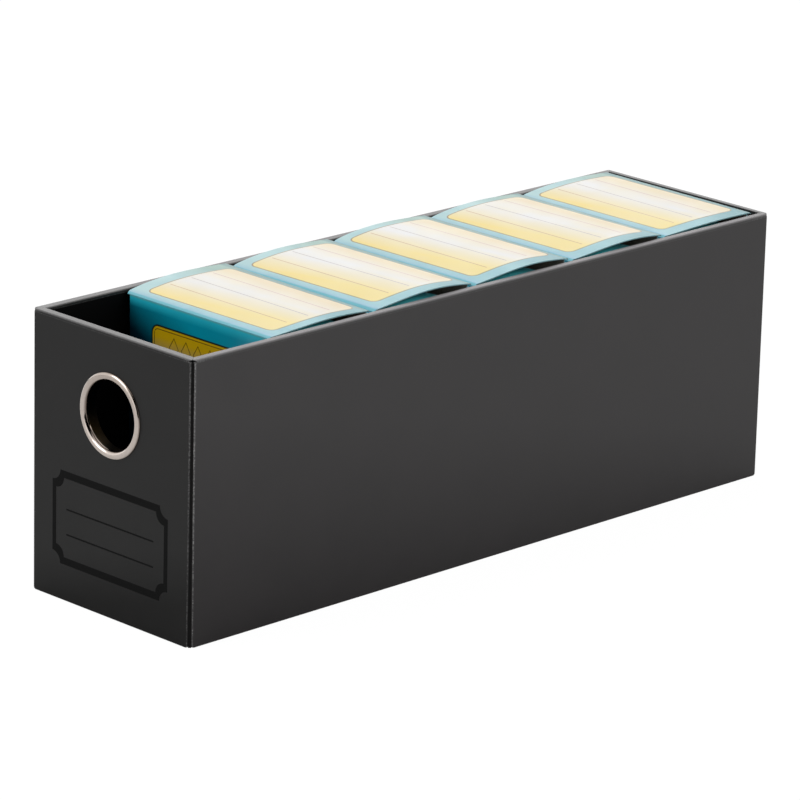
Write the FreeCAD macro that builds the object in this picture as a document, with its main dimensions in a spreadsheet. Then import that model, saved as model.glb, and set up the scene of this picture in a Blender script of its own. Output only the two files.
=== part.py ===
import FreeCAD, Part
import math
import os

import Sketcher
from FreeCAD import Rotation, Vector

# A long open tray of double-walled board, with a finger hole in its front wall, that
# holds a row of five folding cartons of trading cards.
#
# Frame: +Z up, front wall towards -Y, origin on the underside at the middle of the
# footprint. Every length is in millimetres and every angle in degrees.

CARTON_COUNT = 5

SIZES = [
    # alias, value, what it is
    ("TrayLength", 283.5, "outside length of the tray, along Y"),
    ("TrayWidth", 80.5, "outside width of the tray, along X"),
    ("TrayHeight", 100.0, "height of the tray over its rims"),
    ("WallBoard", 1.35, "thickness of one leaf of a wall"),
    ("CornerBoard", 1.3, "thickness of the corner flaps between the two leaves"),
    ("FloorBoard", 1.5, "thickness of one leaf of the floor"),
    ("CornerFlapReach", 18.0, "how far a corner flap reaches along the end wall"),
    ("RimHeight", 1.2, "height of the rolled-over rim"),
    ("RimRound", 0.5, "rounding of the rim's two long edges"),
    ("MitreGap", 0.12, "slit at each mitred corner of the rim, on each side"),
    ("TabWidth", 12.0, "width of a locking tab"),
    ("TabFit", 0.15, "clearance round a locking tab in its slot"),
    ("SideTabPitch", 92.0, "spacing of the locking tabs of a side wall"),
    ("EndTabPitch", 38.0, "spacing of the locking tabs of an end wall"),
    ("HoleDrop", 28.5, "how far the finger hole's middle lies under the rim's top"),
    ("EyeletBore", 12.5, "radius of the finger hole"),
    ("EyeletFlange", 15.2, "outer radius of the eyelet's flange"),
    ("EyeletSheet", 0.5, "thickness of the eyelet's metal"),
    ("EyeletCrown", 0.95, "how far the flange's crown stands off the wall"),
    ("EyeletFit", 0.15, "clearance of the eyelet's barrel in the board"),
    ("WasherSheet", 0.4, "thickness of the eyelet's washer"),
    ("CartonSideClear", 1.25, "half the play of a carton between the side walls"),
    ("CartonShift", 0.6, "how far the row of cartons stands to the right of the middle"),
    ("CartonDepth", 47.5, "outside depth of a carton, front to back"),
    ("FoldDrop", 1.0, "how far the lid's fold lies under the rim's top"),
    ("CartonBoard", 0.5, "thickness of the carton's board"),
    ("CartonRound", 0.8, "rounding of the carton's upright edges"),
    ("FirstGap", 1.25, "gap between the first carton and the second"),
    ("SecondGap", 0.9, "gap between the second carton and the third"),
    ("ThirdGap", 0.75, "gap between the third carton and the fourth"),
    ("FourthGap", 0.3, "gap between the fourth carton and the fifth"),
    ("RearClear", 0.15, "gap between the last carton and the rear wall"),
    ("SideDrop", 1.35, "how far the side walls' folds lie under the lid's fold"),
    ("RearDrop", 0.5, "how far the rear wall's edge lies under the lid's fold"),
    ("CreaseGap", 0.4, "gap between a fold's bead and the panel that turns on it"),
    ("CreaseFit", 0.1, "gap between a side wall's edge and its dust flap"),
    ("SeamWidth", 12.0, "width of the carton's glued seam"),
    ("LidSideInset", 0.3, "how far the lid's side edges lie inside the carton's"),
    ("LidCrown", 2.5, "rise of the bowed lid over its chord"),
    ("LidRearRise", 1.6, "height of the lid's rear fold over its front fold"),
    ("TuckFit", 0.35, "gap between the lid's rear fold and the rear wall"),
    ("TuckDepth", 16.0, "depth of the tuck flap"),
    ("TuckInset", 1.6, "how far the tuck flap's sides lie inside the lid's"),
    ("TuckRound", 7.0, "corner rounding of the tuck flap"),
    ("TuckTilt", 14.0, "lean of the tuck flap towards the front"),
    ("DustReach", 20.0, "how far a dust flap reaches in from its side wall"),
    ("DustRootFront", 2.5, "front end of the dust flap's fold"),
    ("DustTipFront", 15.0, "front end of the dust flap's free edge"),
    ("DustTipRear", 29.5, "rear end of the dust flap's free edge"),
    ("DustRootRear", 33.0, "rear end of the dust flap's fold"),
    ("DustRound", 3.5, "corner rounding of the dust flap"),
    ("BottomReach", 20.0, "reach of the two inner flaps that close the bottom"),
    ("BottomTuck", 15.0, "height of the bottom's tuck inside the rear wall"),
    ("BottomFit", 0.08, "clearance of the bottom inside the carton"),
    ("CardSideFit", 1.5, "play of the cards against each side wall of the carton"),
    ("CardDrop", 4.0, "how far the cards' tops lie under the lid's fold"),
    ("CardRound", 3.0, "corner rounding of a card"),
    ("CardFit", 0.4, "play of the cards against the front wall and the tuck flap"),
]

doc = FreeCAD.newDocument("card_drawer")
sheet = doc.addObject("Spreadsheet::Sheet", "Sizes")


class Size:
    """A length or an angle: its number, and the sheet's expression that gives it."""

    def __init__(self, value, text):
        self.value = value
        self.text = text

    def __add__(self, other):
        other = as_size(other)
        return Size(self.value + other.value, "(%s + %s)" % (self.text, other.text))

    def __sub__(self, other):
        other = as_size(other)
        return Size(self.value - other.value, "(%s - %s)" % (self.text, other.text))

    def __mul__(self, other):
        other = as_size(other)
        return Size(self.value * other.value, "(%s * %s)" % (self.text, other.text))

    def __truediv__(self, other):
        other = as_size(other)
        return Size(self.value / other.value, "(%s / %s)" % (self.text, other.text))

    def __neg__(self):
        return Size(-self.value, "(0 - %s)" % self.text)


def as_size(number):
    """Let a plain number take part in a sum of sizes."""
    return number if isinstance(number, Size) else Size(float(number), repr(float(number)))


def root_of(size):
    """The square root of a size."""
    return Size(math.sqrt(size.value), "sqrt(%s)" % size.text)


def sine_of(angle):
    """The sine of an angle in degrees."""
    return Size(math.sin(math.radians(angle.value)), "sin(%s * 1 deg)" % angle.text)


def fill_sheet():
    """Write the driving sizes into the sheet and return them by alias."""
    named = {}
    for row, (alias, value, note) in enumerate(SIZES, start=1):
        sheet.set("A%d" % row, alias)
        sheet.set("B%d" % row, str(value))
        sheet.set("C%d" % row, note)
        sheet.setAlias("B%d" % row, alias)
        named[alias] = Size(value, "Sizes." + alias)
    doc.recompute()
    return named


S = fill_sheet()

# Sizes that follow from the driving ones.
WALL = S["WallBoard"] * 2 + S["CornerBoard"]
END_LAYERS = S["WallBoard"] + S["CornerBoard"]
FLOOR = S["FloorBoard"] * 2
PANEL_TOP = S["TrayHeight"] - S["RimHeight"]
HALF_WIDTH = S["TrayWidth"] / 2
HALF_LENGTH = S["TrayLength"] / 2
HOLE_HEIGHT = S["TrayHeight"] - S["HoleDrop"]
CARTON_WIDTH = S["TrayWidth"] - (WALL + S["CartonSideClear"]) * 2
FOLD_HEIGHT = S["TrayHeight"] - S["FoldDrop"] - FLOOR
BEAD = S["CartonBoard"] / 2
HINGE_HEIGHT = FOLD_HEIGHT - BEAD
SIDE_TOP = FOLD_HEIGHT - S["SideDrop"]
REAR_TOP = FOLD_HEIGHT - S["RearDrop"]
TUCK_AXIS = S["CartonDepth"] - S["CartonBoard"] - S["TuckFit"] - BEAD
LID_WIDTH = CARTON_WIDTH - S["LidSideInset"] * 2
CARTON_GAPS = [S["FirstGap"], S["SecondGap"], S["ThirdGap"], S["FourthGap"]]

nodes = []


# Helpers for bodies, sketches and pads.

def new_body(label):
    """A new body whose label is the node's name."""
    body = doc.addObject("PartDesign::Body", label)
    body.Label = label
    nodes.append(body)
    return body


def place(body, x=0.0, y=0.0, z=0.0):
    """Bind the body's place to the sheet."""
    for axis, where in (("x", x), ("y", y), ("z", z)):
        body.setExpression("Placement.Base." + axis, as_size(where).text + " * 1 mm")


def turn(body, axis, angle):
    """Turn the body about its own origin, and bind the angle to the sheet."""
    body.Placement.Rotation = Rotation(axis, angle.value)
    body.setExpression("Placement.Rotation.Angle", angle.text + " * 1 deg")


def new_sketch(body, role, name, lift=None):
    """A sketch on one of the body's own origin planes, lifted along its normal."""
    plane = [item for item in body.Origin.OriginFeatures if item.Role == role][0]
    sketch = body.newObject("Sketcher::SketchObject", name)
    sketch.AttachmentSupport = [(plane, "")]
    sketch.MapMode = "FlatFace"
    if lift is not None:
        sketch.setExpression("AttachmentOffset.Base.z", lift.text + " * 1 mm")
    return sketch


def bind(sketch, constraint, size):
    """Add a constraint and bind its value to the sheet."""
    index = sketch.addConstraint(constraint)
    sketch.setExpression("Constraints[%d]" % index, size.text + " * 1 mm")


def pin_point(sketch, geometry, end, x, y):
    """Hold one end of a line or arc, or a circle's centre, at a place from the origin."""
    bind(sketch, Sketcher.Constraint("DistanceX", -1, 1, geometry, end, x.value), x)
    bind(sketch, Sketcher.Constraint("DistanceY", -1, 1, geometry, end, y.value), y)


def outline(sketch, corners):
    """A closed outline of straight lines through the corners."""
    corners = [(as_size(x), as_size(y)) for x, y in corners]
    points = [Vector(x.value, y.value, 0) for x, y in corners]
    count = len(points)
    lines = []
    for index in range(count):
        line = Part.LineSegment(points[index], points[(index + 1) % count])
        lines.append(sketch.addGeometry(line))
    for index in range(count):
        following = lines[(index + 1) % count]
        sketch.addConstraint(Sketcher.Constraint("Coincident", lines[index], 2, following, 1))
    for line, (x, y) in zip(lines, corners):
        pin_point(sketch, line, 1, x, y)


def block_outline(sketch, x0, x1, y0, y1):
    """A rectangle between two values on each axis."""
    outline(sketch, [(x0, y0), (x1, y0), (x1, y1), (x0, y1)])


def circle(sketch, x, y, radius):
    """A circle held at a place from the origin."""
    x = as_size(x)
    y = as_size(y)
    ring = Part.Circle(Vector(x.value, y.value, 0), Vector(0, 0, 1), radius.value)
    index = sketch.addGeometry(ring)
    pin_point(sketch, index, 3, x, y)
    bind(sketch, Sketcher.Constraint("Radius", index, radius.value), radius)


def arc_between(sketch, start, end, centre):
    """An arc, counter-clockwise from start to end, around a centre."""
    (x0, y0), (x1, y1), (xc, yc) = [(as_size(x), as_size(y)) for x, y in (start, end, centre)]
    radius = math.hypot(x0.value - xc.value, y0.value - yc.value)
    first = math.atan2(y0.value - yc.value, x0.value - xc.value)
    last = math.atan2(y1.value - yc.value, x1.value - xc.value)
    ring = Part.Circle(Vector(xc.value, yc.value, 0), Vector(0, 0, 1), radius)
    return sketch.addGeometry(Part.ArcOfCircle(ring, first, last))


def pad(body, sketch, name, length, both_ways=False, back=False):
    """Pad a sketch, and bind its length to the sheet."""
    feature = body.newObject("PartDesign::Pad", name)
    feature.Profile = (sketch, [""])
    feature.setExpression("Length", length.text + " * 1 mm")
    feature.SideType = "Symmetric" if both_ways else "One side"
    feature.Reversed = back
    return feature


def pocket(body, sketch, name, length, both_ways=False, back=False):
    """Cut a sketch out of the body, and bind the depth to the sheet."""
    feature = body.newObject("PartDesign::Pocket", name)
    feature.Profile = (sketch, [""])
    feature.setExpression("Length", length.text + " * 1 mm")
    feature.SideType = "Symmetric" if both_ways else "One side"
    feature.Reversed = back
    return feature


def edges_where(feature, test):
    """The names of the edges of a feature that pass a test."""
    found = []
    for index, edge in enumerate(feature.Shape.Edges, start=1):
        if test(edge):
            found.append("Edge%d" % index)
    return found


def along(edge, axis):
    """Whether an edge is straight and runs along an axis."""
    if edge.Curve.TypeId != "Part::GeomLine":
        return False
    return abs(edge.Curve.Direction.dot(axis)) > 0.999


def fillet(body, feature, name, test, radius):
    """Round those edges of a feature that pass a test."""
    doc.recompute()
    rounding = body.newObject("PartDesign::Fillet", name)
    rounding.Base = (feature, edges_where(feature, test))
    rounding.setExpression("Radius", radius.text + " * 1 mm")
    return rounding


def row_of(body, feature, name, axis_role, span, count):
    """Repeat a feature in a row along one of the body's own axes."""
    axis = [item for item in body.Origin.OriginFeatures if item.Role == axis_role][0]
    pattern = body.newObject("PartDesign::LinearPattern", name)
    pattern.Originals = [feature]
    pattern.Direction = (axis, [""])
    pattern.setExpression("Length", span.text + " * 1 mm")
    pattern.Occurrences = count
    body.Tip = pattern
    return pattern


# The tray: floor, walls, corner flaps and rims.

SIDE_TAB_COUNT = 3
END_TAB_COUNT = 2


def make_base_outer():
    """The floor's outer leaf, which closes the walls from below."""
    body = new_body("base_outer_panel")
    sketch = new_sketch(body, "XY_Plane", "BaseOuterOutline")
    half_x = HALF_WIDTH - S["WallBoard"]
    half_y = HALF_LENGTH - S["WallBoard"]
    block_outline(sketch, -half_x, half_x, -half_y, half_y)
    pad(body, sketch, "BaseOuterPad", S["FloorBoard"])


def slot_row(body, name, axis_role, centre, along_x, pitch, count):
    """A row of slots through the floor's inner leaf, for one wall's locking tabs."""
    half_tab = S["TabWidth"] / 2 + S["TabFit"]
    half_leaf = S["WallBoard"] / 2 + S["TabFit"]
    first = -(pitch * (count - 1) / 2)
    sketch = new_sketch(body, "XY_Plane", name + "Outline")
    if along_x:
        block_outline(sketch, first - half_tab, first + half_tab,
                      centre - half_leaf, centre + half_leaf)
    else:
        block_outline(sketch, centre - half_leaf, centre + half_leaf,
                      first - half_tab, first + half_tab)
    slot = pocket(body, sketch, name + "Cut", S["FloorBoard"], back=True)
    row_of(body, slot, name + "Row", axis_role, -first * 2, count)


def make_base_inner():
    """The floor's inner leaf, with slots for the locking tabs of all four walls."""
    body = new_body("base_inner_panel")
    sketch = new_sketch(body, "XY_Plane", "BaseInnerOutline")
    half_x = HALF_WIDTH - S["WallBoard"]
    half_y = HALF_LENGTH - END_LAYERS
    block_outline(sketch, -half_x, half_x, -half_y, half_y)
    pad(body, sketch, "BaseInnerPad", S["FloorBoard"])
    side_leaf = HALF_WIDTH - END_LAYERS - S["WallBoard"] / 2
    end_leaf = HALF_LENGTH - END_LAYERS - S["WallBoard"] / 2
    slot_row(body, "LeftSlots", "Y_Axis", -side_leaf, False, S["SideTabPitch"], SIDE_TAB_COUNT)
    slot_row(body, "RightSlots", "Y_Axis", side_leaf, False, S["SideTabPitch"], SIDE_TAB_COUNT)
    slot_row(body, "FrontSlots", "X_Axis", -end_leaf, True, S["EndTabPitch"], END_TAB_COUNT)
    slot_row(body, "RearSlots", "X_Axis", end_leaf, True, S["EndTabPitch"], END_TAB_COUNT)
    place(body, z=S["FloorBoard"])


def make_side_walls(side, sign):
    """One side wall: its outer leaf, and the inner leaf with its locking tabs."""
    outer = new_body(side + "_outer_panel")
    sketch = new_sketch(outer, "YZ_Plane", side + "OuterOutline")
    half_y = HALF_LENGTH - END_LAYERS
    block_outline(sketch, -half_y, half_y, 0, PANEL_TOP)
    pad(outer, sketch, side + "OuterPad", S["WallBoard"], both_ways=True)
    place(outer, x=(HALF_WIDTH - S["WallBoard"] / 2) * sign)

    inner = new_body(side + "_inner_panel")
    sketch = new_sketch(inner, "YZ_Plane", side + "InnerOutline")
    half_y = HALF_LENGTH - WALL
    block_outline(sketch, -half_y, half_y, 0, PANEL_TOP - FLOOR)
    pad(inner, sketch, side + "InnerPad", S["WallBoard"], both_ways=True)
    first = -(S["SideTabPitch"] * (SIDE_TAB_COUNT - 1) / 2)
    half_tab = S["TabWidth"] / 2
    sketch = new_sketch(inner, "YZ_Plane", side + "TabOutline")
    block_outline(sketch, first - half_tab, first + half_tab, -S["FloorBoard"], 0)
    tab = pad(inner, sketch, side + "TabPad", S["WallBoard"], both_ways=True)
    row_of(inner, tab, side + "Tabs", "Y_Axis", -first * 2, SIDE_TAB_COUNT)
    place(inner, x=(HALF_WIDTH - END_LAYERS - S["WallBoard"] / 2) * sign, z=FLOOR)


def make_end_walls(end, sign):
    """One end wall: its outer leaf and its inner leaf. The front ones have the hole."""
    hole = S["EyeletBore"] + S["EyeletSheet"] + S["EyeletFit"]
    half_x = HALF_WIDTH - S["WallBoard"]
    outer = new_body(end + "_outer_panel")
    sketch = new_sketch(outer, "XZ_Plane", end + "OuterOutline")
    block_outline(sketch, -half_x, half_x, 0, PANEL_TOP)
    if end == "front":
        circle(sketch, 0, HOLE_HEIGHT, hole)
    pad(outer, sketch, end + "OuterPad", S["WallBoard"], both_ways=True)
    place(outer, y=(HALF_LENGTH - S["WallBoard"] / 2) * sign)

    inner = new_body(end + "_inner_panel")
    sketch = new_sketch(inner, "XZ_Plane", end + "InnerOutline")
    block_outline(sketch, -half_x, half_x, 0, PANEL_TOP - FLOOR)
    if end == "front":
        circle(sketch, 0, HOLE_HEIGHT - FLOOR, hole)
    pad(inner, sketch, end + "InnerPad", S["WallBoard"], both_ways=True)
    first = -(S["EndTabPitch"] * (END_TAB_COUNT - 1) / 2)
    half_tab = S["TabWidth"] / 2
    sketch = new_sketch(inner, "XZ_Plane", end + "TabOutline")
    block_outline(sketch, first - half_tab, first + half_tab, -S["FloorBoard"], 0)
    tab = pad(inner, sketch, end + "TabPad", S["WallBoard"], both_ways=True)
    row_of(inner, tab, end + "Tabs", "X_Axis", -first * 2, END_TAB_COUNT)
    place(inner, y=(HALF_LENGTH - END_LAYERS - S["WallBoard"] / 2) * sign, z=FLOOR)


def make_corner_flap(end, side, y_sign, x_sign):
    """A corner flap: it shows as a bevel on the corner, and passes between the leaves
    of the end wall."""
    body = new_body("corner_flap_%s_%s" % (end, side))
    edge_x = HALF_WIDTH * x_sign
    edge_y = HALF_LENGTH * y_sign
    board = S["WallBoard"]
    inner_x = (HALF_WIDTH - board) * x_sign
    flap_x = (HALF_WIDTH - board - S["CornerFlapReach"]) * x_sign
    leaf_y = (HALF_LENGTH - board) * y_sign
    back_y = (HALF_LENGTH - END_LAYERS) * y_sign
    sketch = new_sketch(body, "XY_Plane", "Bevel")
    outline(sketch, [(inner_x, edge_y), (edge_x, leaf_y), (edge_x, back_y), (inner_x, back_y)])
    pad(body, sketch, "BevelPad", PANEL_TOP)
    sketch = new_sketch(body, "XY_Plane", "Flap", lift=S["FloorBoard"])
    block_outline(sketch, flap_x, inner_x, leaf_y, back_y)
    pad(body, sketch, "FlapPad", PANEL_TOP - S["FloorBoard"])


def make_rim(name, half_run, turned):
    """A rolled-over rim: rounded along its run, mitred and bevelled at both ends."""
    body = new_body(name)
    board = S["WallBoard"]
    outer = half_run - board - S["MitreGap"]
    middle = half_run - board / 2 - S["MitreGap"]
    inner = half_run - WALL - S["MitreGap"]
    sketch = new_sketch(body, "XY_Plane", "RimOutline")
    outline(sketch, [(-outer, 0), (outer, 0), (middle, board / 2), (inner, WALL),
                     (-inner, WALL), (-middle, board / 2)])
    strip = pad(body, sketch, "RimPad", S["RimHeight"])
    top = S["RimHeight"].value

    def long_top_edge(edge):
        return along(edge, Vector(1, 0, 0)) and abs(edge.CenterOfMass.z - top) < 0.01

    fillet(body, strip, "RimRounding", long_top_edge, S["RimRound"])
    body.Placement.Rotation = Rotation(Vector(0, 0, 1), turned)
    return body


def make_rims():
    """The four rims, each turned to its own wall."""
    front = make_rim("front_rim", HALF_WIDTH, 0)
    place(front, y=-HALF_LENGTH, z=PANEL_TOP)
    rear = make_rim("rear_rim", HALF_WIDTH, 180)
    place(rear, y=HALF_LENGTH, z=PANEL_TOP)
    right = make_rim("right_rim", HALF_LENGTH, 90)
    place(right, x=HALF_WIDTH, z=PANEL_TOP)
    left = make_rim("left_rim", HALF_LENGTH, 270)
    place(left, x=-HALF_WIDTH, z=PANEL_TOP)


CROWN_BANDS = 4


def make_eyelet():
    """The finger hole's eyelet: a crowned flange on the wall's face, a barrel through
    both leaves, and a flat lip turned out over the washer."""
    body = new_body("finger_hole_eyelet")
    bore = S["EyeletBore"]
    flange = S["EyeletFlange"]
    barrel = bore + S["EyeletSheet"]
    back = WALL + S["WasherSheet"]
    lip = back + S["EyeletSheet"]
    crown = []
    for band in range(CROWN_BANDS + 1):
        part = band / CROWN_BANDS
        stand_off = S["EyeletCrown"] * (part * (1 - part) * 4)
        crown.append((-stand_off, flange - (flange - bore) * part))
    sketch = new_sketch(body, "YZ_Plane", "EyeletProfile")
    outline(sketch, crown + [(lip, bore), (lip, flange), (back, flange), (back, barrel),
                             (0, barrel)])
    turned = body.newObject("PartDesign::Revolution", "EyeletTurned")
    turned.Profile = (sketch, [""])
    turned.ReferenceAxis = (sketch, ["H_Axis"])
    turned.Angle = 360
    place(body, y=-HALF_LENGTH, z=HOLE_HEIGHT)


def make_washer():
    """The flat washer under the eyelet's lip, inside the front wall."""
    body = new_body("eyelet_washer")
    sketch = new_sketch(body, "XZ_Plane", "WasherOutline")
    circle(sketch, 0, 0, S["EyeletFlange"])
    circle(sketch, 0, 0, S["EyeletBore"] + S["EyeletSheet"] + S["EyeletFit"])
    pad(body, sketch, "WasherPad", S["WasherSheet"], both_ways=True)
    place(body, y=WALL + S["WasherSheet"] / 2 - HALF_LENGTH, z=HOLE_HEIGHT)


# The cartons. Each piece is drawn about its own fold or foot, and placed by the carton's
# front face and by the tray's floor.

def carton_front(number):
    """The front face of a carton, counted from the front of the row."""
    back = HALF_LENGTH - WALL - S["RearClear"]
    for gap in CARTON_GAPS[number - 1:]:
        back = back - S["CartonDepth"] - gap
    return back - S["CartonDepth"]


def make_shell(number):
    """The carton's four walls, folded from one board and glued along one seam."""
    body = new_body("carton_%d_shell" % number)
    board = S["CartonBoard"]
    half_x = CARTON_WIDTH / 2
    depth = S["CartonDepth"]
    sketch = new_sketch(body, "XY_Plane", "Walls")
    block_outline(sketch, -half_x, half_x, 0, depth)
    walls = pad(body, sketch, "WallsPad", HINGE_HEIGHT)
    fillet(body, walls, "UprightRounding", lambda edge: along(edge, Vector(0, 0, 1)),
           S["CartonRound"])
    sketch = new_sketch(body, "XY_Plane", "Hollow")
    block_outline(sketch, board - half_x, half_x - board, board, depth - board)
    pocket(body, sketch, "HollowCut", HINGE_HEIGHT, back=True)
    sketch = new_sketch(body, "YZ_Plane", "LowerEdges")
    above = HINGE_HEIGHT + board
    outline(sketch, [(board, SIDE_TOP), (depth - board, SIDE_TOP), (depth - board, REAR_TOP),
                     (depth + board, REAR_TOP), (depth + board, above), (board, above)])
    pocket(body, sketch, "LowerEdgesCut", CARTON_WIDTH * 2, both_ways=True)
    sketch = new_sketch(body, "YZ_Plane", "FoldBead")
    circle(sketch, BEAD, HINGE_HEIGHT, BEAD)
    pad(body, sketch, "FoldBeadPad", CARTON_WIDTH - S["CartonRound"] * 2, both_ways=True)
    sketch = new_sketch(body, "XY_Plane", "Seam")
    block_outline(sketch, board - half_x, board * 2 - half_x,
                  depth - board - S["SeamWidth"], depth - board)
    pad(body, sketch, "SeamPad", SIDE_TOP)
    place(body, x=S["CartonShift"], y=carton_front(number), z=FLOOR)


def make_bottom(number):
    """The carton's bottom: a panel with its tuck, over two inner flaps."""
    body = new_body("carton_%d_bottom" % number)
    board = S["CartonBoard"]
    fit = S["BottomFit"]
    half_x = CARTON_WIDTH / 2 - board - fit
    front = board + fit
    back = S["CartonDepth"] - board - fit
    sketch = new_sketch(body, "YZ_Plane", "PanelAndTuck")
    outline(sketch, [(front, 0), (back, 0), (back, S["BottomTuck"]),
                     (back - board, S["BottomTuck"]), (back - board, board), (front, board)])
    width = CARTON_WIDTH - (board * 2 + fit) * 2
    pad(body, sketch, "PanelAndTuckPad", width, both_ways=True)
    for name, sign in (("Left", -1), ("Right", 1)):
        sketch = new_sketch(body, "XY_Plane", name + "InnerFlap", lift=board)
        block_outline(sketch, (half_x - board) * sign, (half_x - S["BottomReach"]) * sign,
                      front + board, back - board * 2)
        pad(body, sketch, name + "InnerFlapPad", board)
    place(body, x=S["CartonShift"], y=carton_front(number), z=FLOOR)


def make_cards(number):
    """The stack of sleeved cards that stands in the carton."""
    body = new_body("carton_%d_cards" % number)
    board = S["CartonBoard"]
    half_x = CARTON_WIDTH / 2 - board - S["CardSideFit"]
    height = FOLD_HEIGHT - board * 2 - S["CardDrop"]
    sketch = new_sketch(body, "XZ_Plane", "CardOutline")
    block_outline(sketch, -half_x, half_x, 0, height)
    front = board + S["CardFit"]
    tuck_tip = TUCK_AXIS - S["TuckDepth"] * sine_of(S["TuckTilt"]) - BEAD
    depth = tuck_tip - S["CardFit"] - front
    stack = pad(body, sketch, "StackPad", depth, both_ways=True)
    fillet(body, stack, "CardRounding", lambda edge: along(edge, Vector(0, 1, 0)), S["CardRound"])
    place(body, x=S["CartonShift"], y=carton_front(number) + front + depth / 2,
          z=FLOOR + board * 2)


def make_lid(number):
    """The lid: a bowed panel between the front fold and the rear fold, drawn about the
    front fold's axis."""
    body = new_body("carton_%d_lid" % number)
    span = TUCK_AXIS - BEAD
    rise = S["LidRearRise"]
    crown = S["LidCrown"]
    chord = root_of(span * span + rise * rise)
    radius = chord * chord / (crown * 8) + crown / 2
    below = (radius - crown) / chord
    centre = (span / 2 + rise * below, rise / 2 - span * below)
    gap = S["CreaseGap"]
    sketch = new_sketch(body, "YZ_Plane", "LidProfile")
    arcs = []
    for layer in (radius + BEAD, radius - BEAD):
        rear = Size(span.value - gap.value, "")
        over_front = math.sqrt(layer.value ** 2 - (gap.value - centre[0].value) ** 2)
        over_rear = math.sqrt(layer.value ** 2 - (rear.value - centre[0].value) ** 2)
        start = (rear, Size(centre[1].value + over_rear, ""))
        end = (gap, Size(centre[1].value + over_front, ""))
        arc = arc_between(sketch, start, end, centre)
        pin_point(sketch, arc, 3, centre[0], centre[1])
        bind(sketch, Sketcher.Constraint("Radius", arc, layer.value), layer)
        arcs.append(arc)
    upper, lower = arcs
    for end, where in ((1, span - gap), (2, gap)):
        top = sketch.getPoint(upper, end)
        foot = sketch.getPoint(lower, end)
        edge = sketch.addGeometry(Part.LineSegment(top, foot))
        sketch.addConstraint(Sketcher.Constraint("Coincident", edge, 1, upper, end))
        sketch.addConstraint(Sketcher.Constraint("Coincident", edge, 2, lower, end))
        sketch.addConstraint(Sketcher.Constraint("PointOnObject", lower, 3, edge))
        bind(sketch, Sketcher.Constraint("DistanceX", -1, 1, lower, end, where.value), where)
    pad(body, sketch, "LidPad", LID_WIDTH, both_ways=True)
    place(body, x=S["CartonShift"], y=carton_front(number) + BEAD, z=FLOOR + HINGE_HEIGHT)


def make_tuck(number):
    """The lid's tuck flap: a rounded panel that hangs from the bead of the rear fold."""
    body = new_body("carton_%d_tuck_flap" % number)
    half_x = LID_WIDTH / 2 - S["TuckInset"]
    sketch = new_sketch(body, "XZ_Plane", "TuckOutline")
    block_outline(sketch, -half_x, half_x, -S["TuckDepth"], 0)
    panel = pad(body, sketch, "TuckPad", S["CartonBoard"], both_ways=True)
    foot = -S["TuckDepth"].value

    def lower_corner(edge):
        return along(edge, Vector(0, 1, 0)) and abs(edge.CenterOfMass.z - foot) < 0.01

    fillet(body, panel, "TuckRounding", lower_corner, S["TuckRound"])
    sketch = new_sketch(body, "YZ_Plane", "RearFold")
    circle(sketch, 0, 0, BEAD)
    pad(body, sketch, "RearFoldPad", LID_WIDTH, both_ways=True)
    turn(body, Vector(-1, 0, 0), S["TuckTilt"])
    place(body, x=S["CartonShift"], y=carton_front(number) + TUCK_AXIS,
          z=FLOOR + HINGE_HEIGHT + S["LidRearRise"])


def make_dust_flap(number, side, sign):
    """A dust flap: a tapered panel that lies level under the lid, folded in from the
    upper edge of a side wall."""
    body = new_body("carton_%d_dust_flap_%s" % (number, side))
    tip = -(S["DustReach"] * sign)
    sketch = new_sketch(body, "XY_Plane", "DustOutline")
    outline(sketch, [(0, S["DustRootFront"]), (0, S["DustRootRear"]),
                     (tip, S["DustTipRear"]), (tip, S["DustTipFront"])])
    panel = pad(body, sketch, "DustPad", S["CartonBoard"], both_ways=True)

    def tip_corner(edge):
        return along(edge, Vector(0, 0, 1)) and abs(edge.CenterOfMass.x - tip.value) < 0.01

    fillet(body, panel, "DustRounding", tip_corner, S["DustRound"])
    sketch = new_sketch(body, "XZ_Plane", "DustFold", lift=-S["DustRootRear"])
    circle(sketch, 0, 0, BEAD)
    pad(body, sketch, "DustFoldPad", S["DustRootRear"] - S["DustRootFront"])
    place(body, x=S["CartonShift"] + (CARTON_WIDTH / 2 - BEAD) * sign,
          y=carton_front(number), z=FLOOR + SIDE_TOP + S["CreaseFit"] + BEAD)


def make_carton(number):
    """All the pieces of one carton."""
    make_shell(number)
    make_bottom(number)
    make_cards(number)
    make_lid(number)
    make_tuck(number)
    make_dust_flap(number, "left", -1)
    make_dust_flap(number, "right", 1)


def make_tray():
    """All the pieces of the tray."""
    make_base_outer()
    make_base_inner()
    for side, sign in (("left", -1), ("right", 1)):
        make_side_walls(side, sign)
    for end, sign in (("front", -1), ("rear", 1)):
        make_end_walls(end, sign)
    for end, y_sign in (("front", -1), ("rear", 1)):
        for side, x_sign in (("left", -1), ("right", 1)):
            make_corner_flap(end, side, y_sign, x_sign)
    make_rims()
    make_eyelet()
    make_washer()


def check_document():
    """Stop if any object failed, or a piece is missing, broken or not closed."""
    for item in doc.Objects:
        if "Invalid" in item.State or "Error" in item.State:
            raise RuntimeError("%s is in state %s" % (item.Label, item.State))
    for body in nodes:
        shape = body.Shape
        if shape.isNull() or not shape.isValid() or not shape.Solids:
            raise RuntimeError("%s has no valid solid" % body.Label)


make_tray()
for carton in range(1, CARTON_COUNT + 1):
    make_carton(carton)
doc.recompute()
check_document()

os.makedirs("parts", exist_ok=True)
for node in nodes:
    node.Shape.exportStep("parts/%s.step" % node.Label)
    print("%-28s %9.1f mm3" % (node.Label, node.Shape.Volume))
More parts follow.
